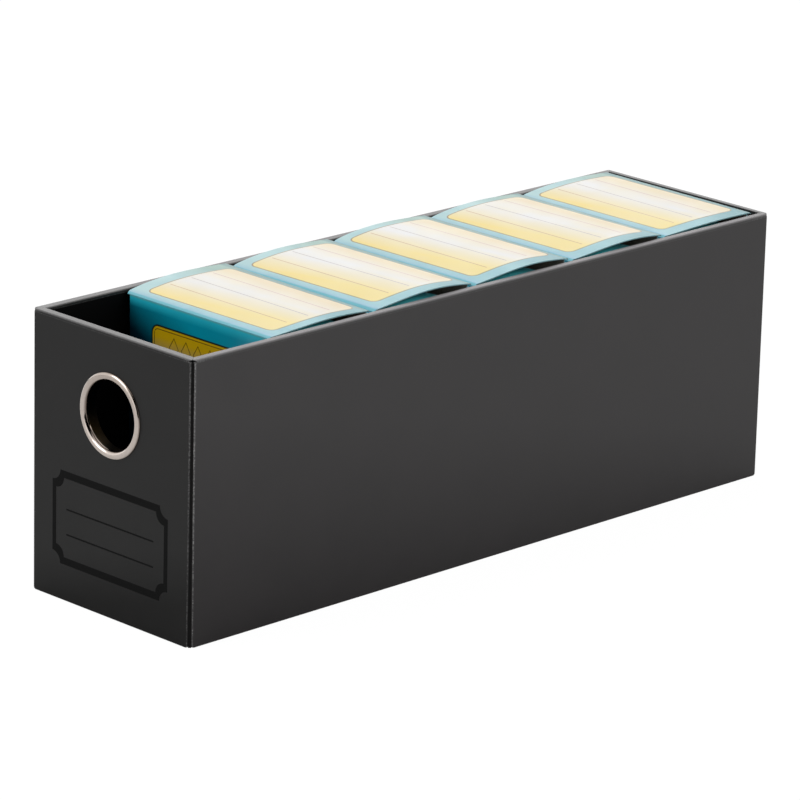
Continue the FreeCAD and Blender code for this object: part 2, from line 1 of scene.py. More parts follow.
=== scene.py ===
# %% [markdown]
# # A board drawer tray with five card cartons
#
# The object is a long open tray of black laminated board. Its front wall has a finger hole
# with a nickel eyelet. Five small folding cartons stand in the tray in a row. Each carton has
# a bowed lid, a tuck flap, two dust flaps and a stack of sleeved cards.
#
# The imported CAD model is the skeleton: its bodies and joints decide what moves. This script
# dresses it. Every length of the object is written in millimetres and turned into metres
# once, when a mesh is made. Only the studio's floor, lamps and flag are written in metres.

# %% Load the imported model
import bmesh
import bpy
import math
from mathutils import Matrix, Vector


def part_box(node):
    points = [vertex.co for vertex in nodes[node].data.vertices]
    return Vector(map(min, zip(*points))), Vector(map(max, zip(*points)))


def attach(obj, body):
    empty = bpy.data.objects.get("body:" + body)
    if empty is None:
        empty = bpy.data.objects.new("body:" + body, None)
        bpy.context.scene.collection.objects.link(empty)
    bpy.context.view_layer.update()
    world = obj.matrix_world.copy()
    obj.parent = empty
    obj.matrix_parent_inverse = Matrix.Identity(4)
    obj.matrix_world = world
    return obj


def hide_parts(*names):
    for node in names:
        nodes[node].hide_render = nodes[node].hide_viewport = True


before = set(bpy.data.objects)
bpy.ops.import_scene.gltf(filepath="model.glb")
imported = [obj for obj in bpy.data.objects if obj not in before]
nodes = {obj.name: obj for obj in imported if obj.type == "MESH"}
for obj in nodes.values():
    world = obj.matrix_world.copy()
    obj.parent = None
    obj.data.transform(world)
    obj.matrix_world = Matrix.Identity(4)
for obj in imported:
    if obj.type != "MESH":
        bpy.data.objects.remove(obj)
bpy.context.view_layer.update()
MM = 0.001
TO_METRES = Matrix.Diagonal((MM, MM, MM, 1))
CARTONS = range(1, 6)

# %% [markdown]
# ## Camera
#
# A long lens from far away keeps the edges of the tray almost parallel, which suits an object
# of straight boards. The camera looks from the front right corner, a little from above. Its
# place is worked out from three angles and a distance, which are easier to judge than a
# position.

# %% Camera
AZIMUTH, ELEVATION, ROLL = (math.radians(angle) for angle in (44.989, 17.491, 1.4495))
DISTANCE = 1780.6
SHIFT_RIGHT, SHIFT_UP = -4.047, -1.796
LENS = 227.145
TRAY_MIDDLE = Vector((0, 0, 50))

back = Vector((math.sin(AZIMUTH) * math.cos(ELEVATION),
               -math.cos(AZIMUTH) * math.cos(ELEVATION), math.sin(ELEVATION)))
level_right = Vector((math.cos(AZIMUTH), math.sin(AZIMUTH), 0))
level_up = back.cross(level_right)
right = level_right * math.cos(ROLL) + level_up * math.sin(ROLL)
up = level_up * math.cos(ROLL) - level_right * math.sin(ROLL)
aim = TRAY_MIDDLE + right * SHIFT_RIGHT + up * SHIFT_UP

camera_data = bpy.data.cameras.new("studio_camera")
camera_data.lens = LENS
camera_data.sensor_width = 36
camera_data.clip_start = 0.05
camera_data.clip_end = 30
camera = bpy.data.objects.new("studio_camera", camera_data)
bpy.context.scene.collection.objects.link(camera)
camera.matrix_world = (Matrix.Translation((aim + back * DISTANCE) * MM)
                       @ Matrix((right, up, back)).transposed().to_4x4())
bpy.context.scene.camera = camera
bpy.context.scene.view_settings.view_transform = "Standard"
print("camera at", [round(value, 3) for value in camera.location])

# %% [markdown]
# ## Node helpers
#
# A node tree could be wired by hand, node by node, but the script would be hard to follow. A
# small class keeps it short: each method adds one node, plugs in what it is given, and
# returns the output, so that a material reads like a sentence. A material gets a few more
# words of its own, for place, noise, colour and relief.

# %% A helper for node trees
class Tree:
    """A node tree under construction."""

    def __init__(self, tree):
        self.tree = tree

    def plug(self, value, socket):
        """Link an output to a socket, or write a plain value in it."""
        if isinstance(value, bpy.types.NodeSocket):
            self.tree.links.new(value, socket)
        else:
            socket.default_value = value

    def add(self, kind, inputs=(), **settings):
        """Add a node, set it up, and plug in its inputs by number or name."""
        node = self.tree.nodes.new(kind)
        for name, value in settings.items():
            setattr(node, name, value)
        for key, value in dict(inputs).items():
            self.plug(value, node.inputs[key])
        return node

    def make(self, kind, inputs=(), **settings):
        """Add a node and give its first output."""
        return self.add(kind, inputs, **settings).outputs[0]

    def math(self, operation, first, second=0.0, clamp=False):
        return self.make("ShaderNodeMath", {0: first, 1: second}, operation=operation,
                         use_clamp=clamp)

    def plus(self, first, second):
        return self.math("ADD", first, second)

    def minus(self, first, second):
        return self.math("SUBTRACT", first, second)

    def times(self, first, second):
        return self.math("MULTIPLY", first, second)

    def vector(self, operation, first, second=(0, 0, 0), output=0):
        return self.add("ShaderNodeVectorMath", {0: first, 1: second},
                        operation=operation).outputs[output]

    def ramp(self, value, low, high, to_low=0.0, to_high=1.0):
        """Spread a value from one range to another, held at both ends."""
        ends = {"From Min": low, "From Max": high, "To Min": to_low, "To Max": to_high}
        return self.make("ShaderNodeMapRange", {"Value": value, **ends})


def words(helper):
    """What a helper class can do, by name."""
    return [word for word in vars(helper) if not word.startswith("_")]


print("a tree can:", words(Tree))

# %% A helper for materials
class Finish(Tree):
    """A node material under construction."""

    def __init__(self, name):
        self.material = bpy.data.materials.new(name)
        self.material.use_nodes = True
        super().__init__(self.material.node_tree)
        self.shader = self.tree.nodes["Principled BSDF"]

    def place(self, scale=1.0):
        """Object coordinates in millimetres, scaled."""
        coordinates = self.add("ShaderNodeTexCoord").outputs["Object"]
        factors = scale if isinstance(scale, tuple) else (scale,) * 3
        return self.vector("MULTIPLY", coordinates, [factor / MM for factor in factors])

    def split(self, vector):
        """The X, Y and Z part of a vector."""
        return self.add("ShaderNodeSeparateXYZ", {0: vector}).outputs

    def facing(self):
        """The X, Y and Z part of the direction in which the surface faces."""
        return self.split(self.add("ShaderNodeNewGeometry").outputs["Normal"])

    def mark(self, name):
        """A number that the mesh carries as an attribute."""
        return self.add("ShaderNodeAttribute", attribute_name=name).outputs["Fac"]

    def noise(self, vector, scale, detail=3.0, roughness=0.55):
        return self.make("ShaderNodeTexNoise", {"Vector": vector, "Scale": scale,
                                                "Detail": detail, "Roughness": roughness})

    def blend(self, factor, first, second):
        """Mix two colours."""
        return self.add("ShaderNodeMix", {0: factor, 6: first, 7: second},
                        data_type="RGBA").outputs[2]

    def paint(self, colour, *layers):
        """Lay colours over a first one, each with the share of it that covers."""
        for share, ink in layers:
            colour = self.blend(share, colour, ink)
        return colour

    def bump(self, height, distance_mm):
        """Relief from a height between 0 and 1."""
        return self.make("ShaderNodeBump", {"Height": height, "Distance": distance_mm * MM})

    def set(self, **values):
        """Write values or links on the shader: spaces in names become underscores."""
        for name, value in values.items():
            self.plug(value, self.shader.inputs[name.replace("_", " ")])
        return self.material


def srgb(red, green, blue):
    """A colour given on the screen's 0-255 scale, as the linear colour that nodes use."""
    linear = []
    for value in (red, green, blue):
        part = value / 255
        linear.append(part / 12.92 if part <= 0.04045 else ((part + 0.055) / 1.055) ** 2.4)
    return (*linear, 1.0)


print("a finish can also:", words(Finish))

# %% [markdown]
# ## Floor, sky and lamps
#
# The lamps and the sky light the tray at a plain level, so that a colour comes out about as
# it is written. The white background could be had from stronger light, but that would bleach
# the object. So it is a matter of the kind of ray: camera rays and mirror rays see a white
# floor and sky, while the floor's own shade still carries the shadow.

# %% Floor and sky
SKY_LIGHT = 0.40
FLOOR_WHITE, FLOOR_HALF = 0.80, 9
SEEN_WHITE = 1.0
FLOOR_GLOW = 1.05
GLOW_SHARE, MIRRORED_GLOW = 0.93, 0.1
WHITE = (1, 1, 1, 1)


def seen_by(tree, glossy_share):
    """1 for camera and glass rays, and a share of 1 for mirror rays."""
    rays = tree.add("ShaderNodeLightPath").outputs
    straight = tree.math("MAXIMUM", rays["Is Camera Ray"], rays["Is Transmission Ray"])
    return tree.math("MAXIMUM", straight, tree.times(rays["Is Glossy Ray"], glossy_share))


def link(name, mesh, *materials):
    """Put a mesh in the scene with its materials."""
    piece = bpy.data.objects.new(name, mesh)
    bpy.context.scene.collection.objects.link(piece)
    for material in materials:
        piece.data.materials.append(material)
    return piece


def studio_plane(name, half, finish):
    """A level square in the studio, with half its width in metres."""
    mesh = bpy.data.meshes.new(name)
    mesh.from_pydata([(-half, -half, 0), (half, -half, 0), (half, half, 0), (-half, half, 0)],
                     [], [(0, 1, 2, 3)])
    return link(name, mesh, finish.material)


world = bpy.data.worlds.new("studio_sky")
bpy.context.scene.world = world
world.use_nodes = True
sky = Tree(world.node_tree)
background = sky.tree.nodes["Background"].inputs
sky.plug(WHITE, background["Color"])
sky.plug(sky.ramp(seen_by(sky, 1.0), 0, 1, SKY_LIGHT, SEEN_WHITE), background["Strength"])

floor_finish = Finish("studio_floor")
floor_finish.set(Base_Color=(FLOOR_WHITE, FLOOR_WHITE, FLOOR_WHITE, 1), Roughness=0.9,
                 Specular_IOR_Level=0.0)
glow = floor_finish.make("ShaderNodeEmission", {"Color": WHITE, "Strength": FLOOR_GLOW})
mixed = floor_finish.make("ShaderNodeMixShader", {
    0: floor_finish.times(seen_by(floor_finish, MIRRORED_GLOW), GLOW_SHARE),
    1: floor_finish.shader.outputs[0], 2: glow})
floor_finish.plug(mixed, floor_finish.tree.nodes["Material Output"].inputs["Surface"])
floor = studio_plane("studio_floor", FLOOR_HALF, floor_finish)
print("floor and sky ready")

# %% Lamps
LAMPS_AIM = TRAY_MIDDLE * MM


def soft_lamp(name, place, size, power):
    """A square area lamp aimed at the middle of the tray."""
    data = bpy.data.lights.new(name, "AREA")
    data.shape = "SQUARE"
    data.size = size
    data.energy = power
    lamp = bpy.data.objects.new(name, data)
    bpy.context.scene.collection.objects.link(lamp)
    lamp.location = place
    lamp.visible_camera = False
    lamp.rotation_euler = (LAMPS_AIM - lamp.location).to_track_quat("-Z", "Y").to_euler()


soft_lamp("lamp_overhead", (-0.25, 0.25, 1.5), 1.2, 4.0)
soft_lamp("lamp_right", (1.5, 0.4, 0.9), 1.0, 4.0)
soft_lamp("lamp_front", (-0.6, -1.3, 1.1), 1.0, 8.5)
soft_lamp("lamp_rear", (-1.3, 1.3, 0.6), 1.4, 5.0)
print("four lamps")

# %% [markdown]
# A studio uses a dark flag where a bright wall would wash out a glossy surface. This one
# stands front right of the tray. Only mirror rays see it, so it takes no light away and
# throws no shadow, but the nickel gets a dark side and keeps its shape.

# %% Dark flag
FLAG_PLACE = Vector((1.45, -1.35, 0.95))
FLAG_HALF = 1.2

flag_finish = Finish("studio_flag")
flag_finish.set(Base_Color=(0.004, 0.004, 0.004, 1), Roughness=0.9, Specular_IOR_Level=0.0)
flag = studio_plane("studio_flag", FLAG_HALF, flag_finish)
flag.data.transform(Matrix.Translation(FLAG_PLACE) @ (FLAG_PLACE - LAMPS_AIM).to_track_quat(
    "Z", "Y").to_matrix().to_4x4())
for ray in ("camera", "diffuse", "shadow", "transmission"):
    setattr(flag, "visible_" + ray, False)
print("flag ready")

# %% [markdown]
# ## Black laminated board
#
# The tray is greyboard wrapped in printed black paper with a matte film. Up close such a film
# has a fine grain and a very slight cloudiness, and where the board is folded the film is
# scuffed; every fold is also lightened evenly, as a painted edge highlight. Displaced geometry
# could give the grain, but it is far too fine for that, so it is bump from noise. The scuffs
# and the painted edge highlight need to know where the folds are, so each mesh carries a point
# attribute, `fold`, that is 1 on rounded edges and 0 on flats.

# %% A helper for black board
def black_board(name, tone, wear_and_highlight, roughness, shine, shaded_foot_share=1.0, reach=(-35, 40),
                sheen_tone=None, sheen_gloss=0.0):
    """Laminated board. Its gloss can fall off over a reach towards the front right foot, a
    painted shade that dims the reflection there, and a face that looks up can have a lighter
    tone and more gloss, a painted sheen."""
    finish = Finish(name)
    place = finish.place()
    gloss = shine
    # Painted shade: the gloss, and with it the reflection, dims towards the front right foot.
    if shaded_foot_share < 1:
        across, along, above = finish.split(place)
        foot_shade_level = finish.minus(finish.plus(above, finish.times(along, 0.23)),
                               finish.times(across, 0.25))
        gloss = finish.ramp(foot_shade_level, *reach, shine * shaded_foot_share, shine)
    cloud = finish.noise(place, 0.045, 4.0)
    grain = finish.noise(place, 3.2, 2.0)
    fibre = finish.noise(finish.place((1.0, 1.0, 0.35)), 1.1, 3.0)
    fold = finish.mark("fold")
    scuff = finish.times(finish.ramp(fold, 0.25, 0.7),
                         finish.ramp(finish.noise(place, 1.9, 3.0, 0.7), 0.46, 0.62))
    dark = (*(value * 0.8 for value in tone), 1)
    scuffed_and_highlit = (*(min(1.0, value + wear_and_highlight) for value in tone), 1)
    base = finish.blend(finish.ramp(cloud, 0.35, 0.65), dark, (*tone, 1))
    # Painted sheen: faces that look up get a lighter tone and more gloss.
    if sheen_tone:
        upward_sheen = finish.ramp(finish.facing()["Z"], 0.45, 0.9)
        base = finish.blend(upward_sheen, base, (*sheen_tone, 1))
        gloss = finish.ramp(upward_sheen, 0, 1, gloss, sheen_gloss)
    # Scuffs from noise are wear; the even lightening on every fold is a painted edge highlight.
    worn_and_highlit = finish.math("ADD", finish.times(scuff, 0.55), finish.times(fold, 0.15), clamp=True)
    height = finish.plus(finish.times(grain, 0.6), finish.times(fibre, 0.4))
    rough = finish.plus(finish.ramp(cloud, 0.3, 0.7, roughness - 0.03, roughness + 0.03),
                        finish.times(grain, 0.05))
    return finish.set(Base_Color=finish.blend(worn_and_highlit, base, scuffed_and_highlit), Roughness=rough,
                      Specular_IOR_Level=gloss, Normal=finish.bump(height, 0.012))


print("black board helper ready")

# %% The tray's black finishes
# The side walls and the right rim take a lighter, glossier copy of the laminate: painted light
# on the sides. The front and side walls lose gloss towards the front right foot: painted shade.
LIT_SIDE_TONE, RIM_BASE = (0.0185, 0.0158, 0.0165), (0.0115, 0.0110, 0.0110)
laminate = black_board("black_laminate", (0.0115, 0.0112, 0.0110), 0.28, 0.42, 0.262, 0.55,
                       (-27, -8))
laminate_lit_side = black_board("black_laminate_lit_side", LIT_SIDE_TONE, 0.45, 0.42, 0.69, 0.50)
# The rims' upward faces get a lighter tone and more gloss, a painted sheen, strongest on the
# right rim.
rim_laminate = black_board("black_laminate_rim", RIM_BASE, 0.12, 0.36, 0.27,
                           sheen_tone=(0.088, 0.083, 0.083), sheen_gloss=0.60)
lit_side_rim = black_board("black_laminate_lit_side_rim", LIT_SIDE_TONE, 0.12, 0.38, 0.68,
                       sheen_tone=(0.165, 0.152, 0.158), sheen_gloss=0.60)
# The corner strips are darker and duller than the walls: painted shade in their recess.
shaded_groove = black_board("black_shaded_groove", (0.0065, 0.0060, 0.0060), 0.02, 0.6, 0.12)
# The linings are nearly black and barely glossy: painted shade inside the tray.
shaded_lining = black_board("black_lining", (0.0022, 0.0022, 0.0024), 0.02, 0.65, 0.06)
print("black finishes:", [finish.name for finish in
                          (laminate, laminate_lit_side, rim_laminate, lit_side_rim, shaded_groove, shaded_lining)])

# %% [markdown]
# ## Wall boards
#
# A wall leaf is a flat board with slightly soft edges, and one leaf has a round hole. It
# could be a cut and bevelled box, but a cut leaves poor edges to bevel. A flat curve is the
# quickest honest way: its outline and hole are two closed splines, Extrude gives the
# thickness, and Bevel rounds every edge, the hole's too.

# %% Outlines of flat shapes
def arc(x, y, radius, start, end, steps):
    """Points round a centre, from one angle in degrees to another."""
    turns = [math.radians(start + (end - start) * step / steps) for step in range(steps + 1)]
    return [(x + radius * math.cos(turn), y + radius * math.sin(turn)) for turn in turns]


def rounded(x0, x1, y0, y1, radii, steps=5):
    """A rectangle's outline with its own radius at each corner, counter-clockwise from the
    lower left one."""
    corners = [(x0, y0, 180), (x1, y0, 270), (x1, y1, 0), (x0, y1, 90)]
    points = []
    for (x, y, start), radius in zip(corners, radii):
        centre = (x + (radius if x == x0 else -radius), y + (radius if y == y0 else -radius))
        points += arc(*centre, radius, start, start + 90, steps) if radius else [(x, y)]
    return points


print("points in a rounded outline:", len(rounded(0, 1, 0, 1, (0.1,) * 4)))

# %% Shading and folds of a mesh
FOLD_GAIN = 4.0


def smooth(mesh, angle=32.0):
    """Smooth shading with sharp edges above an angle."""
    mesh.shade_smooth()
    mesh.set_sharp_from_angle(angle=math.radians(angle))


def mark_folds(mesh):
    """Write the `fold` attribute: 1 where the surface turns, 0 where it is flat."""
    attribute = mesh.attributes.new("fold", "FLOAT", "POINT")
    for vertex in mesh.vertices:
        flatness = max(abs(part) for part in vertex.normal)
        attribute.data[vertex.index].value = min(1.0, (1.0 - flatness) * FOLD_GAIN)


print("fold attribute gain:", FOLD_GAIN)

# %% Make a board from flat outlines
def evaluated(maker, name):
    """The mesh that an object's curve or modifiers make. The object itself goes."""
    mesh = bpy.data.meshes.new_from_object(
        maker.evaluated_get(bpy.context.evaluated_depsgraph_get()))
    bpy.data.objects.remove(maker)
    mesh.name = name
    return mesh


def board(name, outlines, thickness, softness, seat, material):
    """A flat board in the plane of `seat`, centred on it, with soft edges."""
    curve = bpy.data.curves.new(name, "CURVE")
    curve.dimensions = "2D"
    curve.fill_mode = "BOTH"
    curve.extrude = (thickness / 2 - softness) * MM
    curve.bevel_depth = softness * MM
    curve.bevel_resolution = 2
    curve.offset = -softness * MM
    for points in outlines:
        spline = curve.splines.new("POLY")
        spline.points.add(len(points) - 1)
        spline.use_cyclic_u = True
        for point, (x, y) in zip(spline.points, points):
            point.co = (x * MM, y * MM, 0, 1)
    mesh = evaluated(link(name + "_curve", curve), name)
    mesh.transform(seat)
    mesh.materials.clear()
    smooth(mesh)
    mark_folds(mesh)
    return link(name, mesh, material)


def seat_xz(y):
    """An upright plane across the tray: outline x is x, outline y is height."""
    return Matrix.Translation((0, y * MM, 0)) @ Matrix.Rotation(math.radians(90), 4, "X")


def seat_yz(x):
    """An upright plane along the tray: outline x is y, outline y is height."""
    turn = Matrix(((0, 0, 1), (1, 0, 0), (0, 1, 0))).to_4x4()
    return Matrix.Translation((x * MM, 0, 0)) @ turn


print("board maker ready")

# %% Outer leaves of the four walls
HALF_X, HALF_Y = 40.25, 141.75
LEAF = 1.35
RIM_FOOT, TUCKED_UNDER = 98.8, 0.45
SOFT = 0.4
FOOT_CORNERS = (1.0, 1.0, 0, 0)
HOLE_HEIGHT, HOLE_RADIUS = 71.5, 13.15

for wall, half_run, seat, material in (
        ("front", HALF_X, seat_xz(LEAF / 2 - HALF_Y), laminate),
        ("rear", HALF_X, seat_xz(HALF_Y - LEAF / 2), laminate),
        ("left", HALF_Y, seat_yz(LEAF / 2 - HALF_X), laminate_lit_side),
        ("right", HALF_Y, seat_yz(HALF_X - LEAF / 2), laminate_lit_side)):
    outlines = [rounded(LEAF - half_run, half_run - LEAF, 0, RIM_FOOT + TUCKED_UNDER,
                        FOOT_CORNERS)]
    if wall == "front":
        outlines.append(arc(0, HOLE_HEIGHT, HOLE_RADIUS, 0, 360, 96)[:-1])
    leaf = board("tray_%s_leaf" % wall, outlines, LEAF, SOFT, seat, material)
    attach(leaf, "root")
    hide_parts("%s_outer_panel" % wall)
print("four outer leaves")

# %% [markdown]
# ## Corner flaps
#
# At each upright corner the side board is scored, bevelled and folded in behind the end
# wall. What shows is a narrow slanted strip that lies a little deeper than both walls, so
# each wall's own edge stands beside it as a fine light line; the walls' finish lightens those
# edges a little more as a painted edge highlight, and the strip's own finish is darker, as
# painted shade in its recess. A bevel on the walls would give the slant but no such lines,
# so the strip and its hidden flap are one board, seen from above.

# %% Corner strips with their hidden flaps
STRIP_DEPTH = 0.62
STRIP_INSIDE = [(0.9, 1.8), (1.9, LEAF)]
FLAP_REACH, FLAP_BACK = 19.4, 2.6
STRIP_FOOT, STRIP_SOFT = 0.05, 0.05

for end, y_sign in (("front", -1), ("rear", 1)):
    for side, x_sign in (("left", -1), ("right", 1)):
        depths = [(LEAF, STRIP_DEPTH), (STRIP_DEPTH, LEAF), STRIP_INSIDE[0], (LEAF, FLAP_BACK),
                  (FLAP_REACH, FLAP_BACK), (FLAP_REACH, LEAF), STRIP_INSIDE[1]]
        outline = [((HALF_X - across) * x_sign, (HALF_Y - along) * y_sign)
                   for across, along in depths]
        if x_sign * y_sign < 0:
            outline.reverse()
        seat = Matrix.Translation((0, 0, (RIM_FOOT + STRIP_FOOT) / 2 * MM))
        strip = board("tray_corner_%s_%s" % (end, side), [outline], RIM_FOOT - STRIP_FOOT,
                      STRIP_SOFT, seat, shaded_groove)
        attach(strip, "root")
        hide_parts("corner_flap_%s_%s" % (end, side))
print("four corner strips")

# %% [markdown]
# ## Rims
#
# The board is rolled over at the top of each wall, so the rim is one smooth strip with
# rounded shoulders, mitred like a picture frame at the corners. Each wall was creased by
# hand, so the strips differ in width and in the roundness of their shoulders; the rear one
# is the narrowest, and its lining stands a little lower behind it. A swept curve would keep
# one section from end to end, but here every point of the section runs on until it meets the
# mitre. So the strip is built ring by ring in bmesh, with a length for each point.

# %% Helpers for pieces built ring by ring
def band(mesh, first, second):
    """Join two rings of points with faces."""
    for index in range(len(first)):
        following = (index + 1) % len(first)
        mesh.faces.new((first[index], first[following], second[following], second[index]))


def finished(mesh, name, angle=40):
    """A bmesh in millimetres as a mesh in metres, with its faces outwards."""
    bmesh.ops.recalc_face_normals(mesh, faces=mesh.faces)
    data = bpy.data.meshes.new(name)
    mesh.to_mesh(data)
    mesh.free()
    data.transform(TO_METRES)
    smooth(data, angle)
    return data


print("ring helpers ready")

# %% Section and length of a rim
RIM_TOP, RIM_INSET, RIM_STATIONS = 100.0, 0.02, 24
MITRE_SLIT, MITRE_OPENING, OPEN_DEPTH = 0.01, 0.60, 2.2


def rim_section(width, outer, inner):
    """Points (in from the outer face, up) round the rim's section, from the radii of its
    outer and inner shoulder."""
    flat = width - inner - outer
    return ([(RIM_INSET, RIM_FOOT)]
            + arc(RIM_INSET + outer, RIM_TOP - outer, outer, 180, 90, 6)
            + [(outer + flat * share, RIM_TOP) for share in (0.25, 0.5, 0.75)]
            + arc(width - inner, RIM_TOP - inner, inner, 90, 0, 6) + [(width, RIM_FOOT)])


def rim_reach(inward, half_run, open_share):
    """How far a rim runs at a given depth: bevelled outside, mitred inside."""
    slit = (MITRE_SLIT + MITRE_OPENING * max(0.0, 1 - inward / OPEN_DEPTH) ** 2) * open_share
    bevel = half_run - LEAF + inward - slit
    mitre = half_run - inward - slit
    return min(bevel, mitre)


print("points in a rim's section:", len(rim_section(3.7, 0.7, 0.6)))

# %% Mitred rims
def make_rim(name, half_run, turned, offset, sizes, material, open_shares):
    """A rim, with the share of the usual slit at its first and at its last end."""
    mesh = bmesh.new()
    section = rim_section(*sizes)
    rings = []
    for station in range(RIM_STATIONS + 1):
        share = -1 + 2 * station / RIM_STATIONS
        opening = open_shares[0 if share < 0 else 1]
        rings.append([mesh.verts.new((share * rim_reach(inward, half_run, opening), inward,
                                      height)) for inward, height in section])
    for first, second in zip(rings, rings[1:]):
        band(mesh, first, second)
    mesh.faces.new(rings[0][::-1])
    mesh.faces.new(rings[-1])
    data = finished(mesh, name)
    data.transform(Matrix.Translation([part * MM for part in offset])
                   @ Matrix.Rotation(math.radians(turned), 4, "Z"))
    mark_folds(data)
    return link(name, data, material)


for wall, half_run, turned, offset, sizes, material, open_shares in (
        ("front", HALF_X, 0, (0, -HALF_Y, 0), (3.7, 0.7, 0.6), rim_laminate, (1, 1)),
        ("rear", HALF_X, 180, (0, HALF_Y, 0), (2.4, 0.5, 0.3), rim_laminate, (1, 0)),
        ("right", HALF_Y, 90, (HALF_X, 0, 0), (3.4, 0.8, 0.6), lit_side_rim, (1, 1)),
        ("left", HALF_Y, 270, (-HALF_X, 0, 0), (3.7, 0.6, 0.6), rim_laminate, (0, 1))):
    rim = make_rim("rim_" + wall, half_run, turned, offset, sizes, material, open_shares)
    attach(rim, "root")
    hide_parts(wall + "_rim")
print("four rims of", len(rim.data.polygons), "faces")

# %% [markdown]
# The linings and the two leaves of the floor are flat and nearly hidden by the cartons. The
# CAD model's own solids have the right shape for them, so they only get a finish.

# %% Linings and floor keep their CAD shape
def refinish(node_name, material):
    """Give a CAD node another finish."""
    materials = nodes[node_name].data.materials
    materials.clear()
    materials.append(material)


# The linings take the near-black finish that paints the shade inside the tray.
for part in ("left", "right", "front", "rear", "base"):
    refinish(part + "_inner_panel", shaded_lining)
refinish("base_outer_panel", laminate)
print("six flat leaves refinished")

# %% [markdown]
# ## Nickel eyelet
#
# An eyelet is a turned thing: one section, spun round the hole's axis. The section is a
# domed flange, a barrel through the wall, and a flat lip on the washer at the back. A torus
# would give the dome alone, and the flange and barrel would show a seam. Polished nickel
# shows its surroundings, so it needs little pattern of its own: faint polishing lines and a
# warm tint. On top of these go painted shade along both edges and over the top of the ring,
# a painted highlight on the slopes that face left, and a barrel darkened as painted shade.

# %% Nickel
BORE, FLANGE = 12.1, 15.0

metal = Finish("polished_nickel")
metal_place = metal.place()
polish = metal.noise(metal_place, 0.9, 4.0)
across, _, above = metal.split(metal_place)
radius = metal.math("SQRT", metal.plus(
    metal.math("POWER", across, 2.0),
    metal.math("POWER", metal.minus(above, HOLE_HEIGHT), 2.0)))
# Painted shade: the ring darkens along its outer edge and along the hole.
edge_shade = metal.math("MAXIMUM", metal.ramp(radius, FLANGE - 0.4, FLANGE, 0.0, 0.9),
                     metal.ramp(radius, BORE + 0.65, BORE + 0.2, 0.0, 0.75))
# Painted shade over the top of the ring.
top_shade = metal.ramp(above, HOLE_HEIGHT + 2, HOLE_HEIGHT + 14, 0.0, 0.6)
# Painted highlight on the slopes that face left.
left_highlight = metal.ramp(metal.facing()["X"], -0.2, -0.5)
metal_tone = metal.paint(srgb(206, 194, 184), (polish, srgb(226, 214, 206)),
                         (top_shade, srgb(184, 170, 160)), (left_highlight, srgb(254, 250, 246)),
                         (edge_shade, srgb(74, 56, 42)))
nickel = metal.set(Metallic=1.0, Base_Color=metal_tone,
                   Roughness=metal.ramp(polish, 0.3, 0.7, 0.10, 0.17),
                   Normal=metal.bump(metal.noise(metal_place, 6.0, 2.0), 0.002))
# The barrel gets a dark finish of its own: painted shade inside the hole.
barrel_shade_finish = Finish("shaded_barrel_nickel")
barrel_shade_tone = barrel_shade_finish.blend(barrel_shade_finish.noise(barrel_shade_finish.place(), 0.9, 4.0),
                               srgb(38, 31, 24), srgb(58, 49, 39))
shaded_barrel_nickel = barrel_shade_finish.set(Metallic=1.0, Base_Color=barrel_shade_tone, Roughness=0.3)
print("nickel ready:", nickel.name, shaded_barrel_nickel.name)

# %% Spin a section round an axis
def spin(name, section, steps, centre, *materials):
    """Turn a closed section of (radius, along -Y) points round a level axis."""
    mesh = bmesh.new()
    rings = []
    for step in range(steps):
        angle = 2 * math.pi * step / steps
        rings.append([mesh.verts.new((centre[0] + radius * math.cos(angle), centre[1] - out,
                                      centre[2] + radius * math.sin(angle)))
                      for radius, out in section])
    for first, second in zip(rings, rings[1:] + rings[:1]):
        band(mesh, first, second)
    return link(name, finished(mesh, name, 50), *materials)


print("spin helper ready")

# %% Eyelet and washer
CROWN, ROLL_IN, DOME_STEPS = 0.93, 0.7, 20
BARREL_FROM = 1.0

dome = []
for step in range(DOME_STEPS + 1):
    turn = math.pi * step / DOME_STEPS
    fall = 0.0 if turn < math.pi / 2 else ROLL_IN
    dome.append(((BORE + FLANGE) / 2 + (FLANGE - BORE) / 2 * math.cos(turn),
                 (CROWN + fall) * math.sin(turn) - fall))
barrel_and_lip = [(BORE + 0.35, -1.6), (BORE + 0.4, -4.7), (BORE + 0.5, -4.83),
                  (BORE + 0.7, -4.88), (FLANGE - 0.1, -4.88), (FLANGE, -4.78),
                  (FLANGE - 0.05, -4.42), (BORE + 0.9, -4.4), (BORE + 0.9, 0.0)]
eyelet = spin("eyelet_nickel", dome + barrel_and_lip, 128, (0, -HALF_Y, HOLE_HEIGHT), nickel,
              shaded_barrel_nickel)
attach(eyelet, "root")
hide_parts("finger_hole_eyelet")
for polygon in eyelet.data.polygons:
    if polygon.center.y > (BARREL_FROM - HALF_Y) * MM:
        polygon.material_index = 1
refinish("eyelet_washer", nickel)
print("eyelet:", len(eyelet.data.polygons), "faces")

# %% [markdown]
# ## Varnished label field
#
# On the front wall a field for a label is printed in clear gloss varnish, black on black. It
# could be a mask in the wall's own finish, but it is a film some hundredths of a millimetre
# thick with an edge of its own, so it gets a thin mesh: a ticket-shaped frame with heavy top
# and bottom bars and two writing lines.

# %% Varnish
FILM, FILM_SOFT = 0.03, 0.005
FRAME_OUTSIDE, FRAME_INSIDE, NOTCH = (-29.0, 29.0, 13.0, 46.5), (-27.2, 27.2, 15.6, 43.9), 4.0
LINE_HEIGHTS, LINE_HALF, LINE_RADIUS = (33.0, 24.0), 22, 0.3

clear = Finish("gloss_varnish")
varnish = clear.set(Base_Color=(0.0025, 0.0025, 0.0025, 1), Specular_IOR_Level=0.07,
                    Roughness=clear.ramp(clear.noise(clear.place(), 0.8), 0.3, 0.7, 0.16, 0.26),
                    Normal=clear.bump(clear.noise(clear.place(), 2.4), 0.006))


